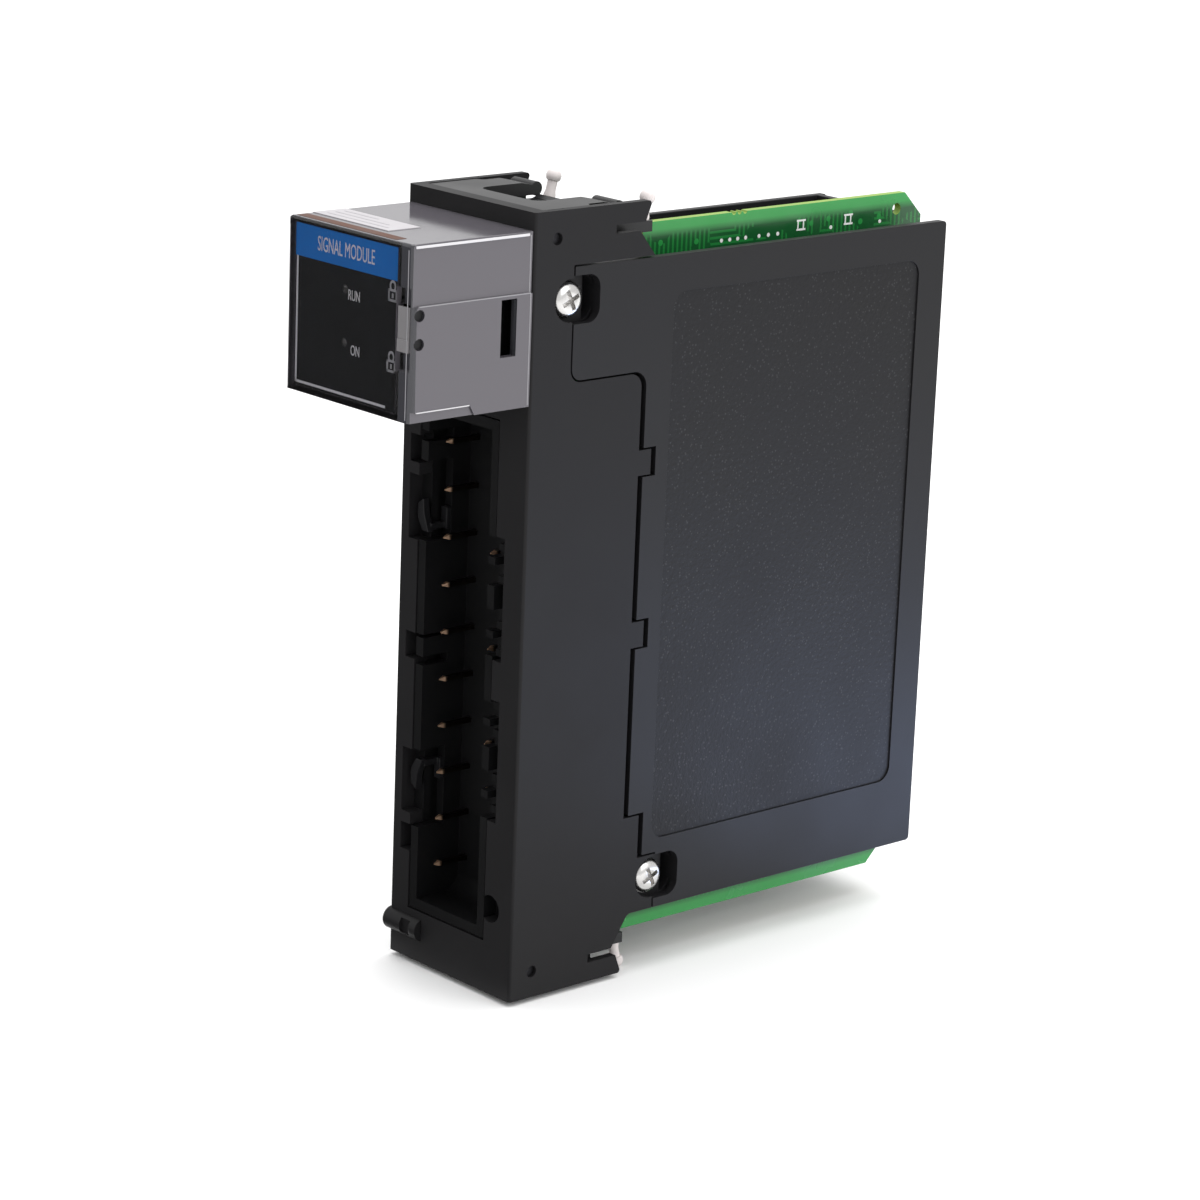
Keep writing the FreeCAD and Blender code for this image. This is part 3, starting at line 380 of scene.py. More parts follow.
@dataclass(frozen=True)
class ClearPlastic:
    """Clear moulded plastic with a trace of haze and flow lines."""

    name: str
    slot: str
    tint: Colour = (0.93, 0.92, 0.94)
    rough: Range = (0.01, 0.04)
    clearness: float = 1.0
    index: float = 1.5
    flow: float = 60.0
    flow_twist: float = 0.8
    wave: float = 0.004 * MM
    strength: float = 0.3

    def build(self) -> bpy.types.Material:
        """Make the material.

        Returns:
            The material.
        """
        material, tree, shader = start_material(self.name, Base_Color=(*self.tint, 1.0), IOR=self.index,
                                                Transmission_Weight=self.clearness)
        noise = add_node(tree, "TexNoise", Vector=place_of(tree), Scale=self.flow, Detail=2.0,
                         Distortion=self.flow_twist)
        flow = noise.outputs["Fac"]
        wire(tree, shader, Roughness=spread(tree, flow, *self.rough),
             Normal=bumped(tree, flow, self.strength, self.wave))
        return material


@dataclass(frozen=True)
class PrintedFilm:
    """Printed film or paper: even ink with a faint screen texture."""

    name: str
    slot: str
    ink: Colour
    faded: Colour
    rough: Range = (0.4, 0.5)
    grain: float = 900.0
    mottle: float = 120.0
    depth: float = 0.01 * MM
    strength: float = 0.05
    shine: float = 0.15

    def build(self) -> bpy.types.Material:
        """Make the material.

        Returns:
            The material.
        """
        material, tree, shader = start_material(self.name, Specular_IOR_Level=self.shine)
        grain = add_node(tree, "Group", GROUPS.moulded_grain(), Scale=self.grain, Mottle_Scale=self.mottle)
        mottle = grain.outputs["Mottle"]
        wire(tree, shader, Base_Color=mix_colours(tree, mottle, self.ink, self.faded),
             Roughness=spread(tree, mottle, *self.rough),
             Normal=bumped(tree, grain.outputs["Height"], self.strength, self.depth))
        return material


@dataclass(frozen=True)
class Metal:
    """Plated or drawn metal with fine tool marks along one axis."""

    name: str
    slot: str
    bright: Colour
    dull: Colour
    rough: Range = (0.16, 0.3)
    marks: Point = (900.0, 900.0, 900.0)
    depth: float = 0.01 * MM
    strength: float = 0.2

    def _colour(self, tree: Tree, lines: Socket) -> Socket:
        """Colour that changes with the tool marks."""
        return mix_colours(tree, lines, self.bright, self.dull)

    def build(self) -> bpy.types.Material:
        """Make the material.

        Returns:
            The material.
        """
        material, tree, shader = start_material(self.name, Metallic=1.0)
        stretch = add_node(tree, "Mapping", Vector=place_of(tree), Scale=self.marks)
        noise = add_node(tree, "TexNoise", Vector=stretch.outputs["Vector"], Scale=1.0, Detail=3.0)
        lines = noise.outputs["Fac"]
        wire(tree, shader, Base_Color=self._colour(tree, lines), Roughness=spread(tree, lines, *self.rough),
             Normal=bumped(tree, lines, self.strength, self.depth))
        return material


@dataclass(frozen=True)
class MetalShadedInwards(Metal):
    """Metal that is bright at its tips and darkens further in, a painted shade of the pocket that it stands
    in.
    """

    tip_y: float = 0.0
    fade_y: float = 1.0 * MM
    painted_shade: Colour = (0.03, 0.024, 0.02)

    def _colour(self, tree: Tree, lines: Socket) -> Socket:
        """Colour that changes with the tool marks and darkens inwards, a painted shade.

        Args:
            tree: The material's tree.
            lines: The tool marks.

        Returns:
            The colour.
        """
        parts = add_node(tree, "SeparateXYZ", Vector=place_of(tree))
        depth = add_node(tree, "MapRange", Value=parts.outputs["Y"], From_Min=self.tip_y,
                         From_Max=self.tip_y + self.fade_y)
        return mix_colours(tree, depth.outputs["Result"], super()._colour(tree, lines), self.painted_shade)


@dataclass(frozen=True)
class SolderMask:
    """Green solder mask with paler tracks and vias, and paler bands along the edges that are painted light.
    """

    name: str
    slot: str
    mask: Colour = (0.008, 0.085, 0.022)
    # paler green of the tracks and vias, and of the painted light bands
    copper_and_painted_light: Colour = (0.022, 0.29, 0.055)
    rough: Range = (0.16, 0.3)
    depth: float = 0.03 * MM
    strength: float = 0.25

    def build(self) -> bpy.types.Material:
        """Make the material.

        Returns:
            The material.
        """
        material, tree, shader = start_material(self.name)
        board = add_node(tree, "Group", GROUPS.board_tracks())
        copper_and_painted_light = board.outputs["Copper"]
        wire(tree, shader, Base_Color=mix_colours(tree, copper_and_painted_light, self.mask, self.copper_and_painted_light),
             Roughness=spread(tree, board.outputs["Cloud"], *self.rough),
             Normal=bumped(tree, copper_and_painted_light, self.strength, self.depth))
        return material


HOUSING = MouldedPlastic("housing_satin", "housing_plastic", (0.0105, 0.0102, 0.0108), (0.0135, 0.013, 0.014),
                         shine=0.14)
COVER = MouldedPlastic("cover_satin", "cover_plastic", (0.0088, 0.0086, 0.0094), (0.0115, 0.0112, 0.0124),
                       rough=(0.4, 0.5), strength=0.45, shine=0.2)
FIELD = MouldedPlastic("label_field_grain", "cover_plastic", (0.0078, 0.0076, 0.0082),
                       (0.011, 0.0107, 0.0118), rough=(0.42, 0.54), grain=1300.0, depth=0.08 * MM,
                       strength=0.85, dust=0.7, shine=0.18)
LATCH = MouldedPlastic("latch_satin", "latch_plastic", (0.009, 0.009, 0.0095), (0.012, 0.012, 0.0125),
                       rough=(0.34, 0.46), shine=0.35)
CLIP = MouldedPlastic("clip_gloss", "header_plastic", (0.007, 0.007, 0.008), (0.01, 0.01, 0.011),
                      rough=(0.3, 0.4), shine=0.3)
HEADER = MouldedPlastic("header_black", "header_plastic", (0.0045, 0.0045, 0.0048), (0.0065, 0.0065, 0.007),
                        rough=(0.32, 0.44), shine=0.2)
CORE = MouldedPlastic("core_black", "core_plastic", (0.005, 0.005, 0.0055), (0.008, 0.008, 0.0085),
                      rough=(0.14, 0.22), shine=0.5, strength=0.1)
NYLON = MouldedPlastic("catch_natural", "catch_nylon", (0.62, 0.57, 0.56), (0.72, 0.67, 0.66),
                       rough=(0.3, 0.42), strength=0.15)
EPOXY = MouldedPlastic("chip_moulding", "chip_epoxy", (0.018, 0.018, 0.019), (0.032, 0.032, 0.034),
                       rough=(0.5, 0.62), grain=3800.0)
COUPLER = MouldedPlastic("coupler_moulding", "optocoupler_resin", (0.7, 0.7, 0.66), (0.8, 0.8, 0.77),
                         rough=(0.45, 0.55))
RIBBON = MouldedPlastic("ribbon_jacket", "ribbon_film", (0.6, 0.57, 0.5), (0.7, 0.68, 0.62),
                        rough=(0.4, 0.5), grain=500.0)
LENS = ClearPlastic("lens_clear", "clear_plastic")
# grey tint on the clear box's sides and top: painted sheen of the pale surroundings
LENS_SIDE = ClearPlastic("lens_side_painted_sheen", "clear_plastic", tint=(0.105, 0.098, 0.112), rough=(0.08, 0.16),
                         clearness=0.12)
# dark tint on the clear box's front corner: painted shade
LENS_CORNER = ClearPlastic("lens_corner_painted_shade", "clear_plastic", tint=(0.05, 0.05, 0.058), rough=(0.04, 0.1),
                           clearness=0.3)
# pale opaque tint: painted highlights along the head and ledge of the clear box
LENS_HEAD_RIM = ClearPlastic("lens_head_painted_highlight", "clear_plastic", tint=(0.6, 0.59, 0.61), rough=(0.06, 0.12),
                             clearness=0.0)
# pale opaque tint: painted highlights on the clear box's broken edges and faint rim bars
LENS_EDGE = ClearPlastic("lens_edge_painted_highlight", "clear_plastic", tint=(0.24, 0.235, 0.25), rough=(0.1, 0.18),
                         clearness=0.0)
TAB_CLEAR = ClearPlastic("tab_clear", "clear_plastic", tint=(0.32, 0.31, 0.32), rough=(0.1, 0.2),
                         clearness=0.5)
PIPE_CLEAR = ClearPlastic("pipe_clear", "clear_plastic", tint=(0.5, 0.5, 0.5), clearness=0.9)
LAMP_RESIN = ClearPlastic("lamp_resin", "led_resin", tint=(0.4, 0.4, 0.38), clearness=0.8)
CARD_INK = PrintedFilm("card_black", "legend_print", (0.003, 0.0038, 0.0055), (0.0045, 0.0055, 0.0075))
BAND_INK = PrintedFilm("band_blue", "band_print", (0.009, 0.2, 0.66), (0.01, 0.22, 0.72))
WHITE_INK = PrintedFilm("legend_white", "label_paper", (0.78, 0.78, 0.8), (0.88, 0.88, 0.9))
GREY_INK = PrintedFilm("legend_grey", "label_paper", (0.42, 0.42, 0.44), (0.5, 0.5, 0.52))
PAPER_PRINT = PrintedFilm("label_rule", "label_paper", (0.34, 0.33, 0.35), (0.38, 0.37, 0.39))
SHADOW_INK = MouldedPlastic("dimple_floor", "core_plastic", (0.004, 0.004, 0.005), (0.008, 0.008, 0.009))
AMBER_EDGE = PrintedFilm("label_edge_amber", "label_paper", (0.075, 0.028, 0.016), (0.1, 0.038, 0.02))
PAPER = PrintedFilm("label_paper", "label_paper", (0.4, 0.385, 0.4), (0.46, 0.445, 0.46),
                    rough=(0.5, 0.6), strength=0.3)
SILK = PrintedFilm("silkscreen_white", "label_paper", (0.74, 0.76, 0.74), (0.82, 0.84, 0.82),
                   rough=(0.5, 0.6))
NICKEL = Metal("screw_nickel", "screw_steel", (0.68, 0.67, 0.66), (0.52, 0.51, 0.5),
               marks=(1600.0, 500.0, 500.0))
PIVOT = Metal("pivot_oxide", "pivot_steel", (0.05, 0.05, 0.055), (0.025, 0.025, 0.028), rough=(0.45, 0.6),
              marks=(200.0, 2200.0, 2200.0))
SPRING = Metal("spring_wire", "pivot_steel", (0.6, 0.6, 0.6), (0.45, 0.45, 0.46))
BRASS = Metal("insert_turned", "insert_brass", (0.82, 0.64, 0.34), (0.66, 0.5, 0.26),
              marks=(2600.0, 300.0, 300.0))
GOLD = Metal("pin_flash", "pin_metal", (0.86, 0.6, 0.38), (0.68, 0.45, 0.28), rough=(0.22, 0.36))
# pins darken behind their tips: painted shade inside the terminal pocket
PIN_GOLD = MetalShadedInwards("pin_gold_tips", "pin_metal", (0.95, 0.66, 0.45), (0.8, 0.5, 0.33), rough=(0.3, 0.45),
                       tip_y=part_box("terminal_pins")[0].y + 0.9 * MM, fade_y=0.7 * MM)
TIN = Metal("tinned_can", "can_steel", (0.8, 0.8, 0.79), (0.7, 0.7, 0.69), rough=(0.26, 0.4))
CAN = Metal("drawn_can", "can_aluminium", (0.8, 0.81, 0.83), (0.66, 0.67, 0.69),
            marks=(150.0, 2400.0, 2400.0))
MASK = SolderMask("solder_mask", "board_laminate")
LAMINATE = MouldedPlastic("laminate_edge", "board_laminate", (0.16, 0.30, 0.05), (0.30, 0.40, 0.09),
                          rough=(0.5, 0.6), grain=3000.0)

Finish = MouldedPlastic | ClearPlastic | PrintedFilm | Metal | SolderMask


@cache
def material_of(finish: Finish) -> bpy.types.Material:
    """A finish's material, made once."""
    return finish.build()


# --- Making pieces ---


def finish_piece(
    name: str, bm: bmesh.types.BMesh, finish: Finish, body: str = ROOT_BODY
) -> bpy.types.Object:
    """Turn a bmesh into a piece that rides on a CAD body.

    Args:
        name: Name of the piece.
        bm: The mesh, in place in the row frame, in metres. It is freed.
        finish: The piece's finish.
        body: CAD body that it rides on.

    Returns:
        The new object.
    """
    bmesh.ops.recalc_face_normals(bm, faces=bm.faces)
    mesh = bpy.data.meshes.new(name)
    bm.to_mesh(mesh)
    bm.free()
    mesh.shade_smooth()
    mesh.set_sharp_from_angle(angle=SHARP_ANGLE)
    mesh.materials.append(material_of(finish))
    piece = bpy.data.objects.new(name, mesh)
    bpy.context.scene.collection.objects.link(piece)
    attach(piece, body)
    return piece


def merged_copy(node: str, merge: float = MERGE, flatten: bool = True) -> bmesh.types.BMesh:
    """Copy a CAD node's loose triangles into one closed mesh.

    Args:
        node: Name of the node.
        merge: Points closer than this become one.
        flatten: Whether triangles in one plane become one face.

    Returns:
        The copy.
    """
    bm = bmesh.new()
    bm.from_mesh(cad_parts[node].data)
    bmesh.ops.remove_doubles(bm, verts=bm.verts, dist=merge)
    if flatten:
        bmesh.ops.dissolve_limit(bm, angle_limit=FLAT_ANGLE, use_dissolve_boundaries=False,
                                 verts=bm.verts, edges=bm.edges)
    return bm


def add_block(
    bm: bmesh.types.BMesh, low: Point, high: Point, bevel: float = 0.0, segments: int = 2
) -> None:
    """Add a block, with rounded edges if asked.

    Args:
        bm: Mesh to add to.
        low: Lowest corner.
        high: Highest corner.
        bevel: Width of the edge rounding.
        segments: Segments of the rounding.
    """
    size = Vector(high) - Vector(low)
    middle = (Vector(high) + Vector(low)) / 2
    place = Matrix.Translation(middle) @ Matrix.Diagonal((*size, 1.0))
    made = bmesh.ops.create_cube(bm, size=1.0, matrix=place)
    if bevel > 0:
        edges = list({edge for vert in made["verts"] for edge in vert.link_edges})
        bmesh.ops.bevel(bm, geom=edges, offset=bevel, offset_type="OFFSET", affect="EDGES",
                        segments=segments, profile=0.5, material=-1, clamp_overlap=True)


def facing(axis: Axis, at: Point) -> Matrix:
    """Matrix that stands a flat XY shape on a face of the module.

    Args:
        axis: Side that the shape faces.
        at: Where its origin goes.

    Returns:
        The placing matrix.
    """
    turn = Matrix.Rotation(math.radians(90), 4, "X")
    if axis is Axis.RIGHT:
        turn = Matrix.Rotation(math.radians(90), 4, "Z") @ turn
    return Matrix.Translation(Vector(at)) @ turn


def add_disc(
    bm: bmesh.types.BMesh, place: Matrix, radius: float, thick: float, inner: float = 0.0,
    stretch: float = 1.0, segments: int = 32,
) -> None:
    """Add a thin disc or ring.

    Args:
        bm: Mesh to add to.
        place: Matrix that stands its XY plane in place, with its back on the plane.
        radius: Outer radius.
        thick: Thickness, towards the side it faces.
        inner: Radius of the hole, 0 for none.
        stretch: Height over width.
        segments: Segments round it.
    """
    part = bmesh.new()
    bmesh.ops.create_circle(part, cap_ends=True, cap_tris=False, segments=segments, radius=radius)
    if inner > 0:
        rim = bmesh.ops.inset_region(part, faces=part.faces[:], thickness=radius - inner, depth=0.0,
                                     use_boundary=True, use_even_offset=True)
        middle = [face for face in part.faces if face not in rim["faces"]]
        bmesh.ops.delete(part, geom=middle, context="FACES")
    bmesh.ops.scale(part, vec=(1.0, stretch, 1.0), verts=part.verts)
    raised = bmesh.ops.extrude_face_region(part, geom=part.faces[:])
    verts = [item for item in raised["geom"] if isinstance(item, bmesh.types.BMVert)]
    bmesh.ops.translate(part, vec=(0.0, 0.0, thick), verts=verts)
    bmesh.ops.transform(part, matrix=place, verts=part.verts)
    join(bm, part)


def join(bm: bmesh.types.BMesh, part: bmesh.types.BMesh) -> None:
    """Add one bmesh to another and free it.

    Args:
        bm: Mesh to add to.
        part: Mesh to add. It is freed.
    """
    scratch = bpy.data.meshes.new("scratch")
    part.to_mesh(scratch)
    part.free()
    bm.from_mesh(scratch)
    bpy.data.meshes.remove(scratch)


def add_words(bm: bmesh.types.BMesh, words: str, height: float, place: Matrix, thick: float,
              squeeze: float = 0.8) -> None:
    """Add a line of plain lettering, centred on its place.

    Args:
        bm: Mesh to add to.
        words: What it says.
        height: Height of a capital.
        place: Matrix that stands its XY plane in place.
        thick: Thickness of the print.
        squeeze: Width of the letters over their normal width.
    """
    curve = bpy.data.curves.new("words", "FONT")
    curve.body = words
    curve.align_x = "CENTER"
    curve.align_y = "CENTER"
    curve.size = height / 0.7
    curve.extrude = thick / 2
    curve.resolution_u = 3
    holder = bpy.data.objects.new("words", curve)
    bpy.context.scene.collection.objects.link(holder)
    bpy.context.view_layer.update()
    mesh = bpy.data.meshes.new_from_object(holder)
    mesh.transform(place @ Matrix.Diagonal((squeeze, 1.0, 1.0, 1.0)))
    bm.from_mesh(mesh)
    bpy.data.objects.remove(holder)
    bpy.data.curves.remove(curve)
    bpy.data.meshes.remove(mesh)


def add_padlock(bm: bmesh.types.BMesh, at: Point, thick: float) -> None:
    """Add a plain padlock mark that faces forwards: a ringed body, its keyhole and a shackle.

    Args:
        bm: Mesh to add to.
        at: Middle of the mark's body, on the printed face.
        thick: Thickness of the print.
    """
    x, y, z = at
    half_wide, half_high, stroke = 1.25 * MM, 1.1 * MM, 0.42 * MM
    keyhole_low, keyhole_high = 0.45 * MM, 0.35 * MM
    shackle_rise, shackle_outer, shackle_inner, shackle_stretch = 0.5 * MM, 0.85 * MM, 0.5 * MM, 1.25
    front, back = y - thick, y + OVERLAP
    half = stroke / 2
    for side in (-1, 1):
        edge = x + side * (half_wide - half)
        add_block(bm, (edge - half, front, z - half_high), (edge + half, back, z + half_high))
        rail = z + side * (half_high - half)
        add_block(bm, (x - half_wide, front, rail - half), (x + half_wide, back, rail + half))
    add_block(bm, (x - half, front, z - keyhole_low), (x + half, back, z + keyhole_high))
    shackle = bmesh.new()
    add_disc(shackle, facing(Axis.FRONT, (x, y, z + half_high + shackle_rise)), shackle_outer, thick,
             inner=shackle_inner, stretch=shackle_stretch)
    everything = shackle.verts[:] + shackle.edges[:] + shackle.faces[:]
    bmesh.ops.bisect_plane(shackle, geom=everything, plane_co=(x, y, z + half_high),
                           plane_no=(0.0, 0.0, -1.0), clear_outer=True)
    bmesh.ops.holes_fill(shackle, edges=shackle.edges[:], sides=0)
    join(bm, shackle)


@dataclass
class SoftenedMoulding:
    """Copy of a CAD node with its sharp edges broken, standing for the node."""

    node: str
    finish: Finish
    width: float = 0.15 * MM
    segments: int = 2
    body: str = ROOT_BODY
    split_x: float | None = None

    def build(self) -> bpy.types.Object:
        """Make the copy.

        Returns:
            The new object.
        """
        bm = merged_copy(self.node)
        if self.split_x is not None:
            everything = bm.verts[:] + bm.edges[:] + bm.faces[:]
            bmesh.ops.bisect_plane(bm, geom=everything, plane_co=(self.split_x, 0.0, 0.0),
                                   plane_no=(1.0, 0.0, 0.0))
        piece = finish_piece(f"{self.node}_moulding", bm, self.finish, self.body)
        edge = piece.modifiers.new("broken_edges", "BEVEL")
        edge.width = self.width
        edge.segments = self.segments
        edge.limit_method = "ANGLE"
        edge.angle_limit = BREAK_ANGLE
        edge.use_clamp_overlap = True
        flat = piece.modifiers.new("flat_faces", "WEIGHTED_NORMAL")
        flat.keep_sharp = True
        flat.weight = 100
        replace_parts(piece, self.node)
        log.info("%s: %d faces before its edges are broken", piece.name, len(piece.data.polygons))
        return piece


def dress(node: str, finish: Finish) -> None:
    """Give a CAD node its finish, the shape kept.

    Args:
        node: Name of the node.
        finish: Its finish.
    """
    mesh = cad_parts[node].data
    mesh.materials.clear()
    mesh.materials.append(material_of(finish))
    log.info("%s: dressed in %s", node, finish.name)


# --- Sub-assemblies ---


@dataclass
class Shells:
    """Front housing, side covers, their screws and the sunk label field."""

    edge: float = 0.18 * MM
    screw_edge: float = 0.12 * MM
    lug_edge: float = 0.25 * MM
    field_margin: float = 0.05 * MM
    field_thick: float = 0.06 * MM
    field_y: Range = (-5.75 * MM, 57.15 * MM)
    field_z: Range = (24.9 * MM, 128.4 * MM)
    field_floor: float = 17.15 * MM
    field_corner: float = 3.0 * MM
    field_segments: int = 8

    def build(self) -> None:
        """Make the shells and their fasteners."""
        shells = (("front_housing", HOUSING, self.edge), ("right_cover", COVER, self.edge),
                  ("left_cover", COVER, self.edge), ("cover_screws", NICKEL, self.screw_edge),
                  ("hinge_lug", HOUSING, self.lug_edge))
        for node, finish, width in shells:
            SoftenedMoulding(node, finish, width).build()
        dress("screw_inserts", BRASS)
        self._label_field()

    def _label_field(self) -> None:
        """Thin plate that carries the coarser grain of the right cover's sunk field."""
        bm = bmesh.new()
        gap = self.field_margin
        half = self.field_thick / 2
        low = (self.field_floor - half, self.field_y[0] + gap, self.field_z[0] + gap)
        high = (self.field_floor + half, self.field_y[1] - gap, self.field_z[1] - gap)
        add_block(bm, low, high)
        corners = [edge for edge in bm.edges if abs(edge.verts[0].co.x - edge.verts[1].co.x) > half]
        bmesh.ops.bevel(bm, geom=corners, offset=self.field_corner, offset_type="OFFSET", affect="EDGES",
                        segments=self.field_segments, profile=0.5, material=-1, clamp_overlap=True)
        finish_piece("label_field", bm, FIELD)


@dataclass
class TerminalPocket:
    """Shroud, keying clips and contact pins."""

    edge: float = 0.12 * MM

    def build(self) -> None:
        """Dress the pocket's pieces."""
        SoftenedMoulding("terminal_header", HEADER, self.edge).build()
        SoftenedMoulding("key_clips", CLIP, self.edge).build()
        dress("terminal_pins", PIN_GOLD)


@dataclass
class Latches:
    """Upper and lower thumb latches with their studs, pins and springs."""

    edge: float = 0.2 * MM
    spring_keep: float = 0.62
    spring_merge: float = 0.001 * MM
    spread_x: float = 12.8 * MM
    root_inset: float = 1.3 * MM        # the studs' foot, in from their front limit
    lean: float = math.radians(14.0)
    shank: float = 0.95 * MM
    foot: float = 1.15 * MM
    foot_low: float = 1.4 * MM          # heights along a stud where its foot starts,
    foot_full: float = 1.6 * MM         # is full,
    foot_top: float = 2.2 * MM          # starts to narrow
    foot_end: float = 2.9 * MM          # and has narrowed to the shank
    ball: float = 1.45 * MM
    neck: float = 2.4 * MM              # the shank ends this far below the tip
    ball_angles: tuple[int, ...] = (125, 110, 95, 80, 65, 50, 35, 20, 8)
    stud_steps: int = 32
    stud_merge: float = 0.005 * MM

    def build(self) -> None:
        """Dress both latches."""
        for side, word in (("top", "upper"), ("bottom", "lower")):
            body = f"{word}_latch"
            SoftenedMoulding(f"{side}_latch", LATCH, self.edge, body=body).build()
            self._studs(side, body)
            dress(f"{side}_latch_pin", PIVOT)
            self._spring(side)

    def _spring(self, side: str) -> None:
        """Return spring, standing on its shelf; the real one shortens as its latch is pressed, but this copy
        keeps its shape.

        Args:
            side: "top" or "bottom".
        """
        node = f"{side}_latch_spring"
        wire_mesh = merged_copy(node, self.spring_merge, flatten=False)
        coil = finish_piece(f"{side}_spring_coil", wire_mesh, SPRING)
        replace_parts(coil, node)
        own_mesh(coil)

    def _profile(self, length: float) -> list[tuple[float, float]]:
        """Half section of a stud: foot, waisted shank and ball nose.

        Args:
            length: Length of the stud.

        Returns:
            Radius and height of each corner.
        """
        shaft = [(0.0, 0.0), (self.shank, 0.0), (self.shank, self.foot_low), (self.foot, self.foot_full),
                 (self.foot, self.foot_top), (self.shank, self.foot_end), (self.shank, length - self.neck)]
        nose = [(self.ball * math.sin(math.radians(angle)),
                 length - self.ball * (1.0 - math.cos(math.radians(angle)))) for angle in self.ball_angles]
        return [*shaft, *nose, (0.0, length)]

    def _studs(self, side: str, body: str) -> None:
        """Turned pair of studs, leaning rearwards.

        Args:
            side: "top" or "bottom".
            body: CAD body that they ride on.
        """
        node = f"{side}_latch_catches"
        low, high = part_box(node)
        sign = 1.0 if side == "top" else -1.0
        tip, root = (high.z, low.z) if sign > 0 else (low.z, high.z)
        bm = bmesh.new()
        for x in (-self.spread_x, self.spread_x):
            stud = bmesh.new()
            points = [stud.verts.new((radius, 0.0, height))
                      for radius, height in self._profile(abs(tip - root) / math.cos(self.lean))]
            edges = [stud.edges.new(pair) for pair in zip(points, points[1:])]
            bmesh.ops.spin(stud, geom=points + edges, cent=(0.0, 0.0, 0.0), axis=(0.0, 0.0, 1.0),
                           dvec=(0.0, 0.0, 0.0), angle=math.tau, steps=self.stud_steps, use_merge=True)
            bmesh.ops.remove_doubles(stud, verts=stud.verts, dist=self.stud_merge)
            place = (Matrix.Translation((x, low.y + self.root_inset, root))
                     @ Matrix.Diagonal((1.0, 1.0, sign, 1.0)) @ Matrix.Rotation(-self.lean, 4, "X"))
            bmesh.ops.transform(stud, matrix=place, verts=stud.verts)
            join(bm, stud)
        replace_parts(finish_piece(f"{side}_studs", bm, NYLON, body), node)


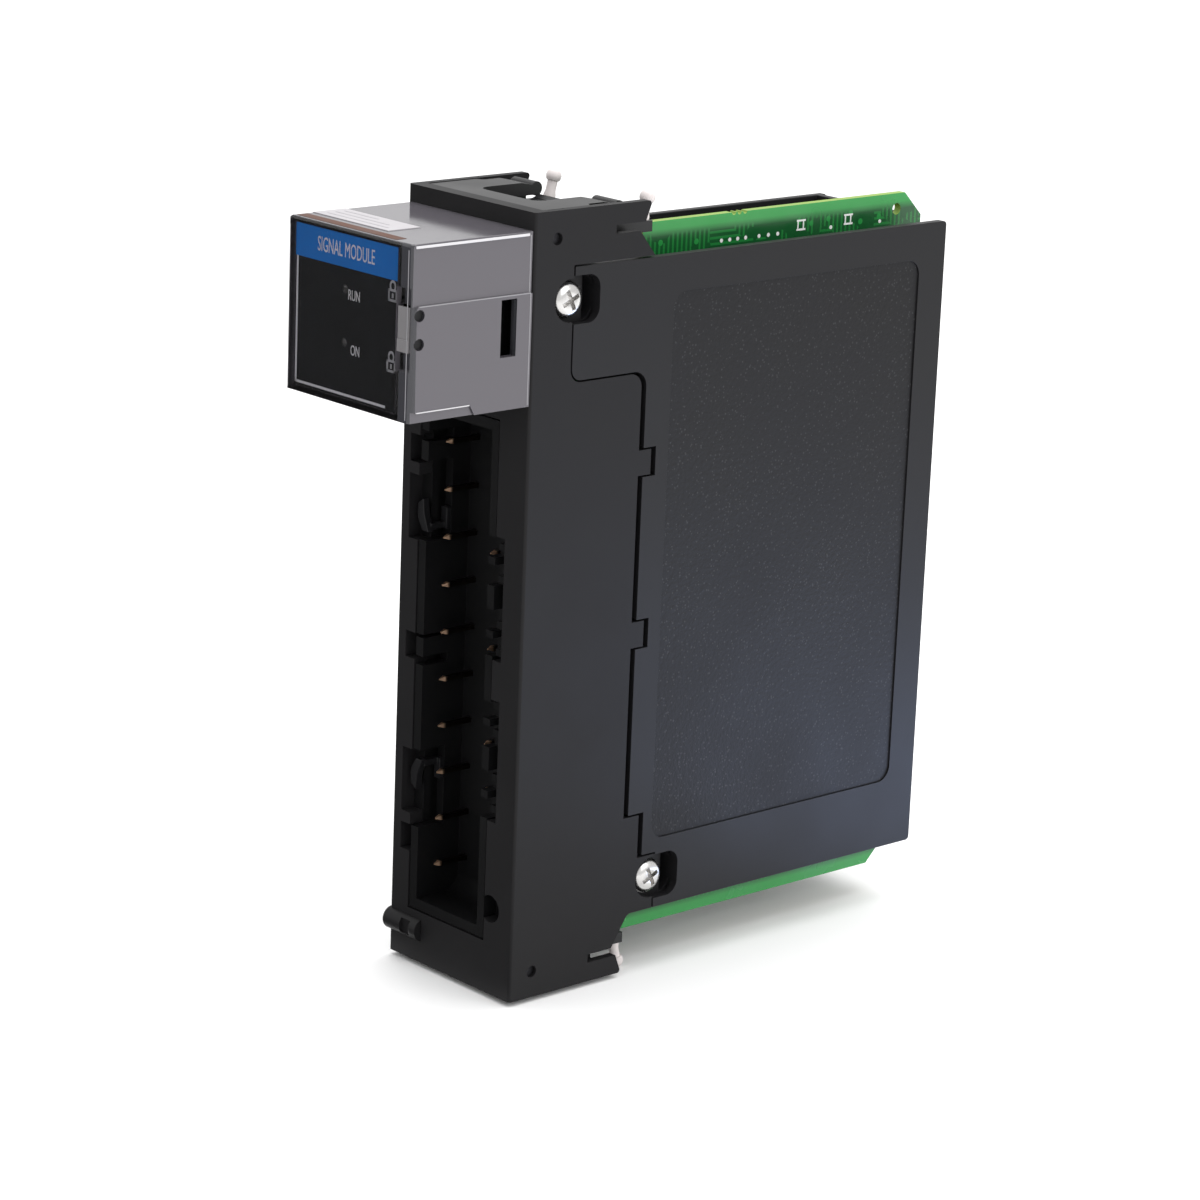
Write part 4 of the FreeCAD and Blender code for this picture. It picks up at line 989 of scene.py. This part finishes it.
@dataclass
class StatusBox:
    """Clear box with its black core, printed legend, lamps and sliding tab."""

    edge: float = 0.22 * MM
    edge_segments: int = 3
    core_edge: float = 0.15 * MM
    tab_edge: float = 0.12 * MM
    corner_x: float = 14.4 * MM         # the front corner is tinted dark from here on, a painted shade
    print_thick: float = 0.04 * MM
    line: float = 0.45 * MM
    line_inset: Range = (0.15 * MM, 0.3 * MM)
    line_end: float = 3.0 * MM
    captions: tuple[tuple[str, float, float], ...] = (
        ("RUN", 0.7 * MM, 130.7 * MM), ("ON", 1.3 * MM, 121.1 * MM),
    )
    caption_height: float = 1.85 * MM
    caption_squeeze: float = 0.62
    band_caption: str = "SIGNAL MODULE"
    band_caption_x: float = -1.6 * MM
    band_height: float = 2.6 * MM
    band_squeeze: float = 0.56
    lock_x: float = 11.3 * MM
    lock_z: Range = (132.7 * MM, 120.4 * MM)
    lamp_radius: float = 0.75 * MM
    lamp_flatness: float = 0.3
    lamp_sink: float = 0.05 * MM
    stripe_y: Range = (0.75 * MM, 3.0 * MM)      # behind the box's front
    stripe_x: Range = (1.0 * MM, 5.6 * MM)       # in from its sides
    stripe_rise: float = 0.05 * MM
    rule: float = 0.14 * MM
    rule_inset: float = 2.0 * MM
    rule_rows: tuple[tuple[float, float], ...] = ((0.24, 0.9), (0.5, 0.8), (0.76, 0.55))
    dimple_z: Range = (125.1 * MM, 130.1 * MM)
    dimple_y: float = 1.8 * MM
    dimple_depth: float = 0.7 * MM
    dimple_radius: float = 1.0 * MM
    dimple_thick: float = 0.15 * MM
    ledge_z: float = 113.3 * MM
    ledge_end: float = -13.6 * MM + BENCH_SHIFT
    step_z: float = 131.6 * MM
    step_in: float = 0.4 * MM
    rim: float = 0.22 * MM
    rim_edge: float = 0.05 * MM

    def build(self) -> None:
        """Make the status box."""
        self._lens()
        SoftenedMoulding("display_core", CORE, self.core_edge).build()
        SoftenedMoulding("locking_tab", TAB_CLEAR, self.tab_edge, body="lock_slider").build()
        for node, finish in (("legend_card", CARD_INK), ("legend_band", BAND_INK), ("top_label", PAPER),
                             ("light_pipes", PIPE_CLEAR), ("status_leds", LAMP_RESIN),
                             ("status_board", MASK), ("status_ribbon", RIBBON)):
            dress(node, finish)
        self._legend_print()
        self._lock_marks()
        self._lamp_domes()
        self._edge_stripe()
        self._label_rules()
        self._dimple_floors()
        self._rims()

    def _lens(self) -> None:
        """Clear box: polished front, grey sides and top as painted sheen, dark front corner as painted shade,
        pale broken edges as painted highlights.
        """
        box = SoftenedMoulding("display_lens", LENS, self.edge, self.edge_segments,
                               split_x=self.corner_x).build()
        clear, side, edge, corner = range(4)
        for finish in (LENS_SIDE, LENS_EDGE, LENS_CORNER):
            box.data.materials.append(material_of(finish))
        for face in box.data.polygons:
            # front corner faces take the painted shade, the sides and top the painted sheen
            if face.normal.y < -0.2 and face.center.x > self.corner_x:
                face.material_index = corner
            else:
                face.material_index = side if abs(face.normal.y) < 0.5 else clear
        # the broken edges take the painted highlight
        box.modifiers["broken_edges"].material = edge

    def _legend_print(self) -> None:
        """White frame lines and plain captions on the legend card and its band."""
        low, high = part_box("legend_card")
        band_low, band_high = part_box("legend_band")
        bm = bmesh.new()
        front, back = low.y - self.print_thick, low.y + OVERLAP
        left, foot = low.x + self.line_inset[0], low.z + self.line_inset[1]
        add_block(bm, (left, front, foot), (left + self.line, back, band_low.z))
        add_block(bm, (left, front, foot), (high.x - self.line_end, back, foot + self.line))
        for words, x, z in self.captions:
            place = facing(Axis.FRONT, (x, low.y - self.print_thick / 2, z))
            add_words(bm, words, self.caption_height, place, self.print_thick, self.caption_squeeze)
        place = facing(Axis.FRONT, (self.band_caption_x, band_low.y - self.print_thick / 2,
                                    (band_low.z + band_high.z) / 2))
        add_words(bm, self.band_caption, self.band_height, place, self.print_thick, self.band_squeeze)
        finish_piece("legend_print", bm, WHITE_INK)

    def _lock_marks(self) -> None:
        """Padlock marks above and below the sliding tab."""
        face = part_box("legend_card")[0].y
        bm = bmesh.new()
        for z in self.lock_z:
            add_padlock(bm, (self.lock_x, face, z), self.print_thick)
        finish_piece("lock_marks", bm, GREY_INK)

    def _lamp_domes(self) -> None:
        """Domed ends of the light pipes, just proud of the card."""
        low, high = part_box("light_pipes")
        middle = (low.x + high.x) / 2
        radius = (high.x - low.x) / 2
        bm = bmesh.new()
        for z in (low.z + radius, high.z - radius):
            place = (Matrix.Translation((middle, low.y + self.lamp_sink, z))
                     @ Matrix.Diagonal((1.0, self.lamp_flatness, 1.0, 1.0)))
            bmesh.ops.create_uvsphere(bm, u_segments=24, v_segments=12, radius=self.lamp_radius, matrix=place)
        finish_piece("lamp_domes", bm, LAMP_RESIN)

    def _edge_stripe(self) -> None:
        """Amber edge of the wrap-round label along the head of the box."""
        low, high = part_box("display_lens")
        bm = bmesh.new()
        add_block(bm, (low.x + self.stripe_x[0], low.y + self.stripe_y[0], high.z - OVERLAP),
                  (high.x - self.stripe_x[1], low.y + self.stripe_y[1], high.z + self.stripe_rise))
        finish_piece("edge_stripe", bm, AMBER_EDGE)

    def _label_rules(self) -> None:
        """Faint ruled lines on the paper label."""
        low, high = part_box("top_label")
        bm = bmesh.new()
        for row, reach in self.rule_rows:
            y = low.y + (high.y - low.y) * row
            right = low.x + (high.x - low.x) * reach
            add_block(bm, (low.x + self.rule_inset, y - self.rule, high.z - OVERLAP),
                      (right, y + self.rule, high.z + self.print_thick))
        finish_piece("label_rules", bm, PAPER_PRINT)

    def _dimple_floors(self) -> None:
        """Painted shade: dark discs on the floors of the two round dimples in the side of the box."""
        low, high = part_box("display_lens")
        bm = bmesh.new()
        for z in self.dimple_z:
            place = facing(Axis.RIGHT, (high.x - self.dimple_depth, low.y + self.dimple_y, z))
            add_disc(bm, place, self.dimple_radius, self.dimple_thick)
        finish_piece("dimple_floors", bm, SHADOW_INK)

    def _rims(self) -> None:
        """Painted highlights on the rims of the clear box: pale opaque bars that stand for the light which
        its polished rims carry.

        Each is a thin bar, given by its lowest and highest corner.
        """
        low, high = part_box("display_lens")
        front, back, right = low.y, high.y, high.x
        shelf, step, rim = right - self.step_in, self.step_z, self.rim
        proud = right + 0.02 * MM
        head = ((shelf - rim, front + 0.9 * MM, high.z - 0.75 * MM),
                (shelf + rim, back - 0.8 * MM, high.z - 0.3 * MM))
        ledge = ((shelf, front + 1.6 * MM, self.ledge_z - rim),
                 (right, self.ledge_end, self.ledge_z + rim / 2))
        step_line = ((shelf, front + 1.6 * MM, step - rim / 2), (proud, back - 0.3 * MM, step + rim / 2))
        rear_low = ((shelf, back - 0.5 * MM, low.z + 0.3 * MM), (proud, back - 0.25 * MM, step))
        rear_high = ((shelf - rim, back - 0.5 * MM, step),
                     (shelf + 0.03 * MM, back - 0.25 * MM, high.z - 0.6 * MM))
        right_corner = ((right - 1.3 * MM, front - OVERLAP, low.z + 0.5 * MM),
                        (right - 1.1 * MM, front + 0.1 * MM, high.z - 1.0 * MM))
        left_corner = ((low.x - OVERLAP, front - OVERLAP, low.z + 0.4 * MM),
                       (low.x + rim, front + 0.12 * MM, high.z - 1.6 * MM))
        top_front = ((low.x + 0.3 * MM, front + 0.35 * MM, high.z - 0.2 * MM),
                     (right - 4.6 * MM, front + 0.6 * MM, high.z - 0.02 * MM))
        faint = (step_line, rear_low, rear_high, right_corner, left_corner, top_front)
        for name, bars, finish in (("lens_head_rims", (head, ledge), LENS_HEAD_RIM),
                                   ("lens_painted_highlight_bars", faint, LENS_EDGE)):
            bm = bmesh.new()
            for corner, opposite in bars:
                add_block(bm, corner, opposite, self.rim_edge, 1)
            finish_piece(name, bm, finish)


@dataclass
class BoardAssembly:
    """Main board with its silkscreen, the backplane plug and the parts between the covers."""

    plug_edge: float = 0.15 * MM
    mark_thick: float = 0.03 * MM
    dot_radius: float = 0.38 * MM
    dot_segments: int = 12
    mark_row: float = 134.9 * MM
    dots: tuple[float, ...] = (51.5, 53.6, 55.6, 57.6, 61.0, 63.4, 65.8, 79.6, 92.6)   # mm, bench y
    outlines: tuple[float, ...] = (70.6, 83.0)
    outline_long: float = 2.3
    part_columns: int = 6
    part_rows: int = 14
    part_start: Range = (-2.0 * MM, 30.0 * MM)   # y, z
    part_pitch: Range = (8.3 * MM, 7.1 * MM)
    part_size: Point = (0.6 * MM, 2.0 * MM, 1.2 * MM)
    part_sink: float = 0.02 * MM
    part_edge: float = 0.08 * MM

    def build(self) -> None:
        """Dress the board and print its marks."""
        self._laminate()
        SoftenedMoulding("backplane_plug", HEADER, self.plug_edge).build()
        for node, finish in (("plug_contacts", GOLD), ("power_module", EPOXY),
                             ("isolation_transformers", EPOXY), ("controller_chip", EPOXY),
                             ("converter_chips", EPOXY), ("optocouplers", COUPLER),
                             ("filter_capacitors", CAN), ("reference_crystal", TIN)):
            dress(node, finish)
        self._silkscreen()
        self._surface_parts()

    def _laminate(self) -> None:
        """Board with solder mask on its faces and bare laminate round its edge."""
        board = finish_piece("circuit_board_laminate", merged_copy("circuit_board"), MASK)
        board.data.materials.append(material_of(LAMINATE))
        for face in board.data.polygons:
            face.material_index = 0 if abs(face.normal.x) > 0.5 else 1
        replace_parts(board, "circuit_board")

    def _silkscreen(self) -> None:
        """White dots and part outlines along the board's upper edge."""
        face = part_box("circuit_board")[1].x
        top = face + self.mark_thick
        bm = bmesh.new()
        for y in self.dots:
            place = facing(Axis.RIGHT, (face, y * MM + BENCH_SHIFT, self.mark_row))
            add_disc(bm, place, self.dot_radius, self.mark_thick, segments=self.dot_segments)
        for y in self.outlines:
            for rise in (0.0, 1.7):
                low = (face - OVERLAP, y * MM + BENCH_SHIFT, self.mark_row + (rise + 0.1) * MM)
                high = (top, (y + self.outline_long) * MM + BENCH_SHIFT, self.mark_row + (rise + 0.45) * MM)
                add_block(bm, low, high)
            for step in (0.2, 1.6):
                start = (y + step) * MM + BENCH_SHIFT
                low = (face - OVERLAP, start, self.mark_row + 0.45 * MM)
                add_block(bm, low, (top, start + 0.3 * MM, self.mark_row + 1.8 * MM))
        finish_piece("silkscreen", bm, SILK)

    def _surface_parts(self) -> None:
        """Rows of small chip resistors and capacitors on the board's outer face."""
        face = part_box("circuit_board")[1].x
        tall, wide, high = self.part_size
        bm = bmesh.new()
        for column in range(self.part_columns):
            for row in range(self.part_rows):
                y = self.part_start[0] + column * self.part_pitch[0]
                z = self.part_start[1] + row * self.part_pitch[1]
                add_block(bm, (face - self.part_sink, y, z), (face + tall, y + wide, z + high),
                          self.part_edge, 1)
        finish_piece("surface_parts", bm, EPOXY)


@dataclass(frozen=True)
class SoftLight:
    """One square soft light and the side it hangs on."""

    name: str
    at: Point
    size: float
    power: float


@dataclass(frozen=True)
class StageSheet:
    """One flat sheet of the stage: its size, the middle of it and its colour."""

    name: str
    size: Range
    middle: Point
    colour: Colour


@dataclass
class Studio:
    """Pale floor, soft lights, two cards that shape the reflections, and the camera."""

    floor_z: float = cad_low[2]
    card_gap: float = 0.3 * MM          # the cards lie this far above the floor
    matt: float = 0.9
    card_glow: Colour = (0.55, 0.66, 1.0)
    card_glow_power: float = 4.0
    sky_power: float = 1.0
    light_target: Point = (0.0, 0.0, 0.07)
    lights: tuple[SoftLight, ...] = (
        SoftLight("key_right", (0.9, 0.1, 0.8), 0.9, 4.0),
        SoftLight("top_soft", (-0.1, 0.15, 1.1), 1.1, 10.0),
    )
    aim: Point = (0.0006, -0.0056, 0.0672)
    distance: float = 0.743
    azimuth: float = 48.0
    elevation: float = 15.4
    roll: float = 2.29
    lens: float = 119.67
    sensor: float = 36.0
    clip: Range = (0.05, 20.0)

    def build(self) -> None:
        """Set up the studio."""
        card_z = self.floor_z + self.card_gap
        self._sheet(StageSheet("floor", (6.0, 6.0), (0.0, 0.0, self.floor_z), (0.93, 0.93, 0.93)))
        black = self._sheet(StageSheet("black_card", (1.6, 1.5), (-0.75, -0.793, card_z),
                                       (0.012, 0.012, 0.012)))
        blue = self._sheet(StageSheet("blue_card", (0.1, 0.14), (0.085, 0.13, card_z), (0.6, 0.7, 0.9)))
        shader = blue.data.materials[0].node_tree.nodes["Principled BSDF"]
        shader.inputs["Emission Color"].default_value = (*self.card_glow, 1.0)
        shader.inputs["Emission Strength"].default_value = self.card_glow_power
        for card in (black, blue):      # both show only in reflections
            card.visible_camera = False
            card.visible_diffuse = False
            card.visible_shadow = False
        self._sky()
        for light in self.lights:
            self._light(light)
        self._camera()

    def _sheet(self, sheet: StageSheet) -> bpy.types.Object:
        """Lay a flat matt sheet of the stage.

        Args:
            sheet: What it is like.

        Returns:
            The new object.
        """
        bm = bmesh.new()
        bmesh.ops.create_grid(bm, x_segments=1, y_segments=1, size=0.5)
        bmesh.ops.scale(bm, vec=(*sheet.size, 1.0), verts=bm.verts)
        bmesh.ops.translate(bm, vec=sheet.middle, verts=bm.verts)
        mesh = bpy.data.meshes.new(sheet.name)
        bm.to_mesh(mesh)
        bm.free()
        colour = (*sheet.colour, 1.0)
        mesh.materials.append(start_material(f"{sheet.name}_matt", Base_Color=colour, Roughness=self.matt)[0])
        laid = bpy.data.objects.new(sheet.name, mesh)
        bpy.context.scene.collection.objects.link(laid)
        return laid

    def _sky(self) -> None:
        """Even pale surroundings."""
        world = bpy.data.worlds.new("surroundings")
        world.use_nodes = True
        ground = world.node_tree.nodes["Background"]
        ground.inputs["Color"].default_value = (1.0, 1.0, 1.0, 1.0)
        ground.inputs["Strength"].default_value = self.sky_power
        scene = bpy.context.scene
        scene.world = world
        scene.view_settings.view_transform = "Standard"

    def _light(self, light: SoftLight) -> None:
        """Hang one soft light.

        Args:
            light: Its place, size and power.
        """
        lamp = bpy.data.lights.new(light.name, "AREA")
        lamp.size = light.size
        lamp.energy = light.power
        holder = bpy.data.objects.new(light.name, lamp)
        holder.location = light.at
        holder.rotation_mode = "QUATERNION"
        holder.rotation_quaternion = (Vector(self.light_target) - Vector(light.at)).to_track_quat("-Z", "Y")
        holder.visible_camera = False
        bpy.context.scene.collection.objects.link(holder)

    def _camera(self) -> None:
        """Camera at the reference viewing angle."""
        data = bpy.data.cameras.new("camera")
        data.lens = self.lens
        data.sensor_width = self.sensor
        data.clip_start, data.clip_end = self.clip
        azimuth, elevation = math.radians(self.azimuth), math.radians(self.elevation)
        back = Vector((math.sin(azimuth) * math.cos(elevation), -math.cos(azimuth) * math.cos(elevation),
                       math.sin(elevation)))
        turn = back.to_track_quat("Z", "Y").to_matrix().to_4x4()
        roll = Matrix.Rotation(math.radians(self.roll), 4, "Z")
        camera = bpy.data.objects.new("camera", data)
        camera.matrix_world = Matrix.Translation(Vector(self.aim) + back * self.distance) @ turn @ roll
        bpy.context.scene.collection.objects.link(camera)
        bpy.context.scene.camera = camera


def main() -> None:
    """Build every sub-assembly in order."""
    logging.basicConfig(level=logging.INFO, format="%(name)s: %(message)s")
    for assembly in (Shells(), TerminalPocket(), Latches(), StatusBox(), BoardAssembly(), Studio()):
        assembly.build()
        log.info("%s built", type(assembly).__name__)


if __name__ == "__main__":
    main()
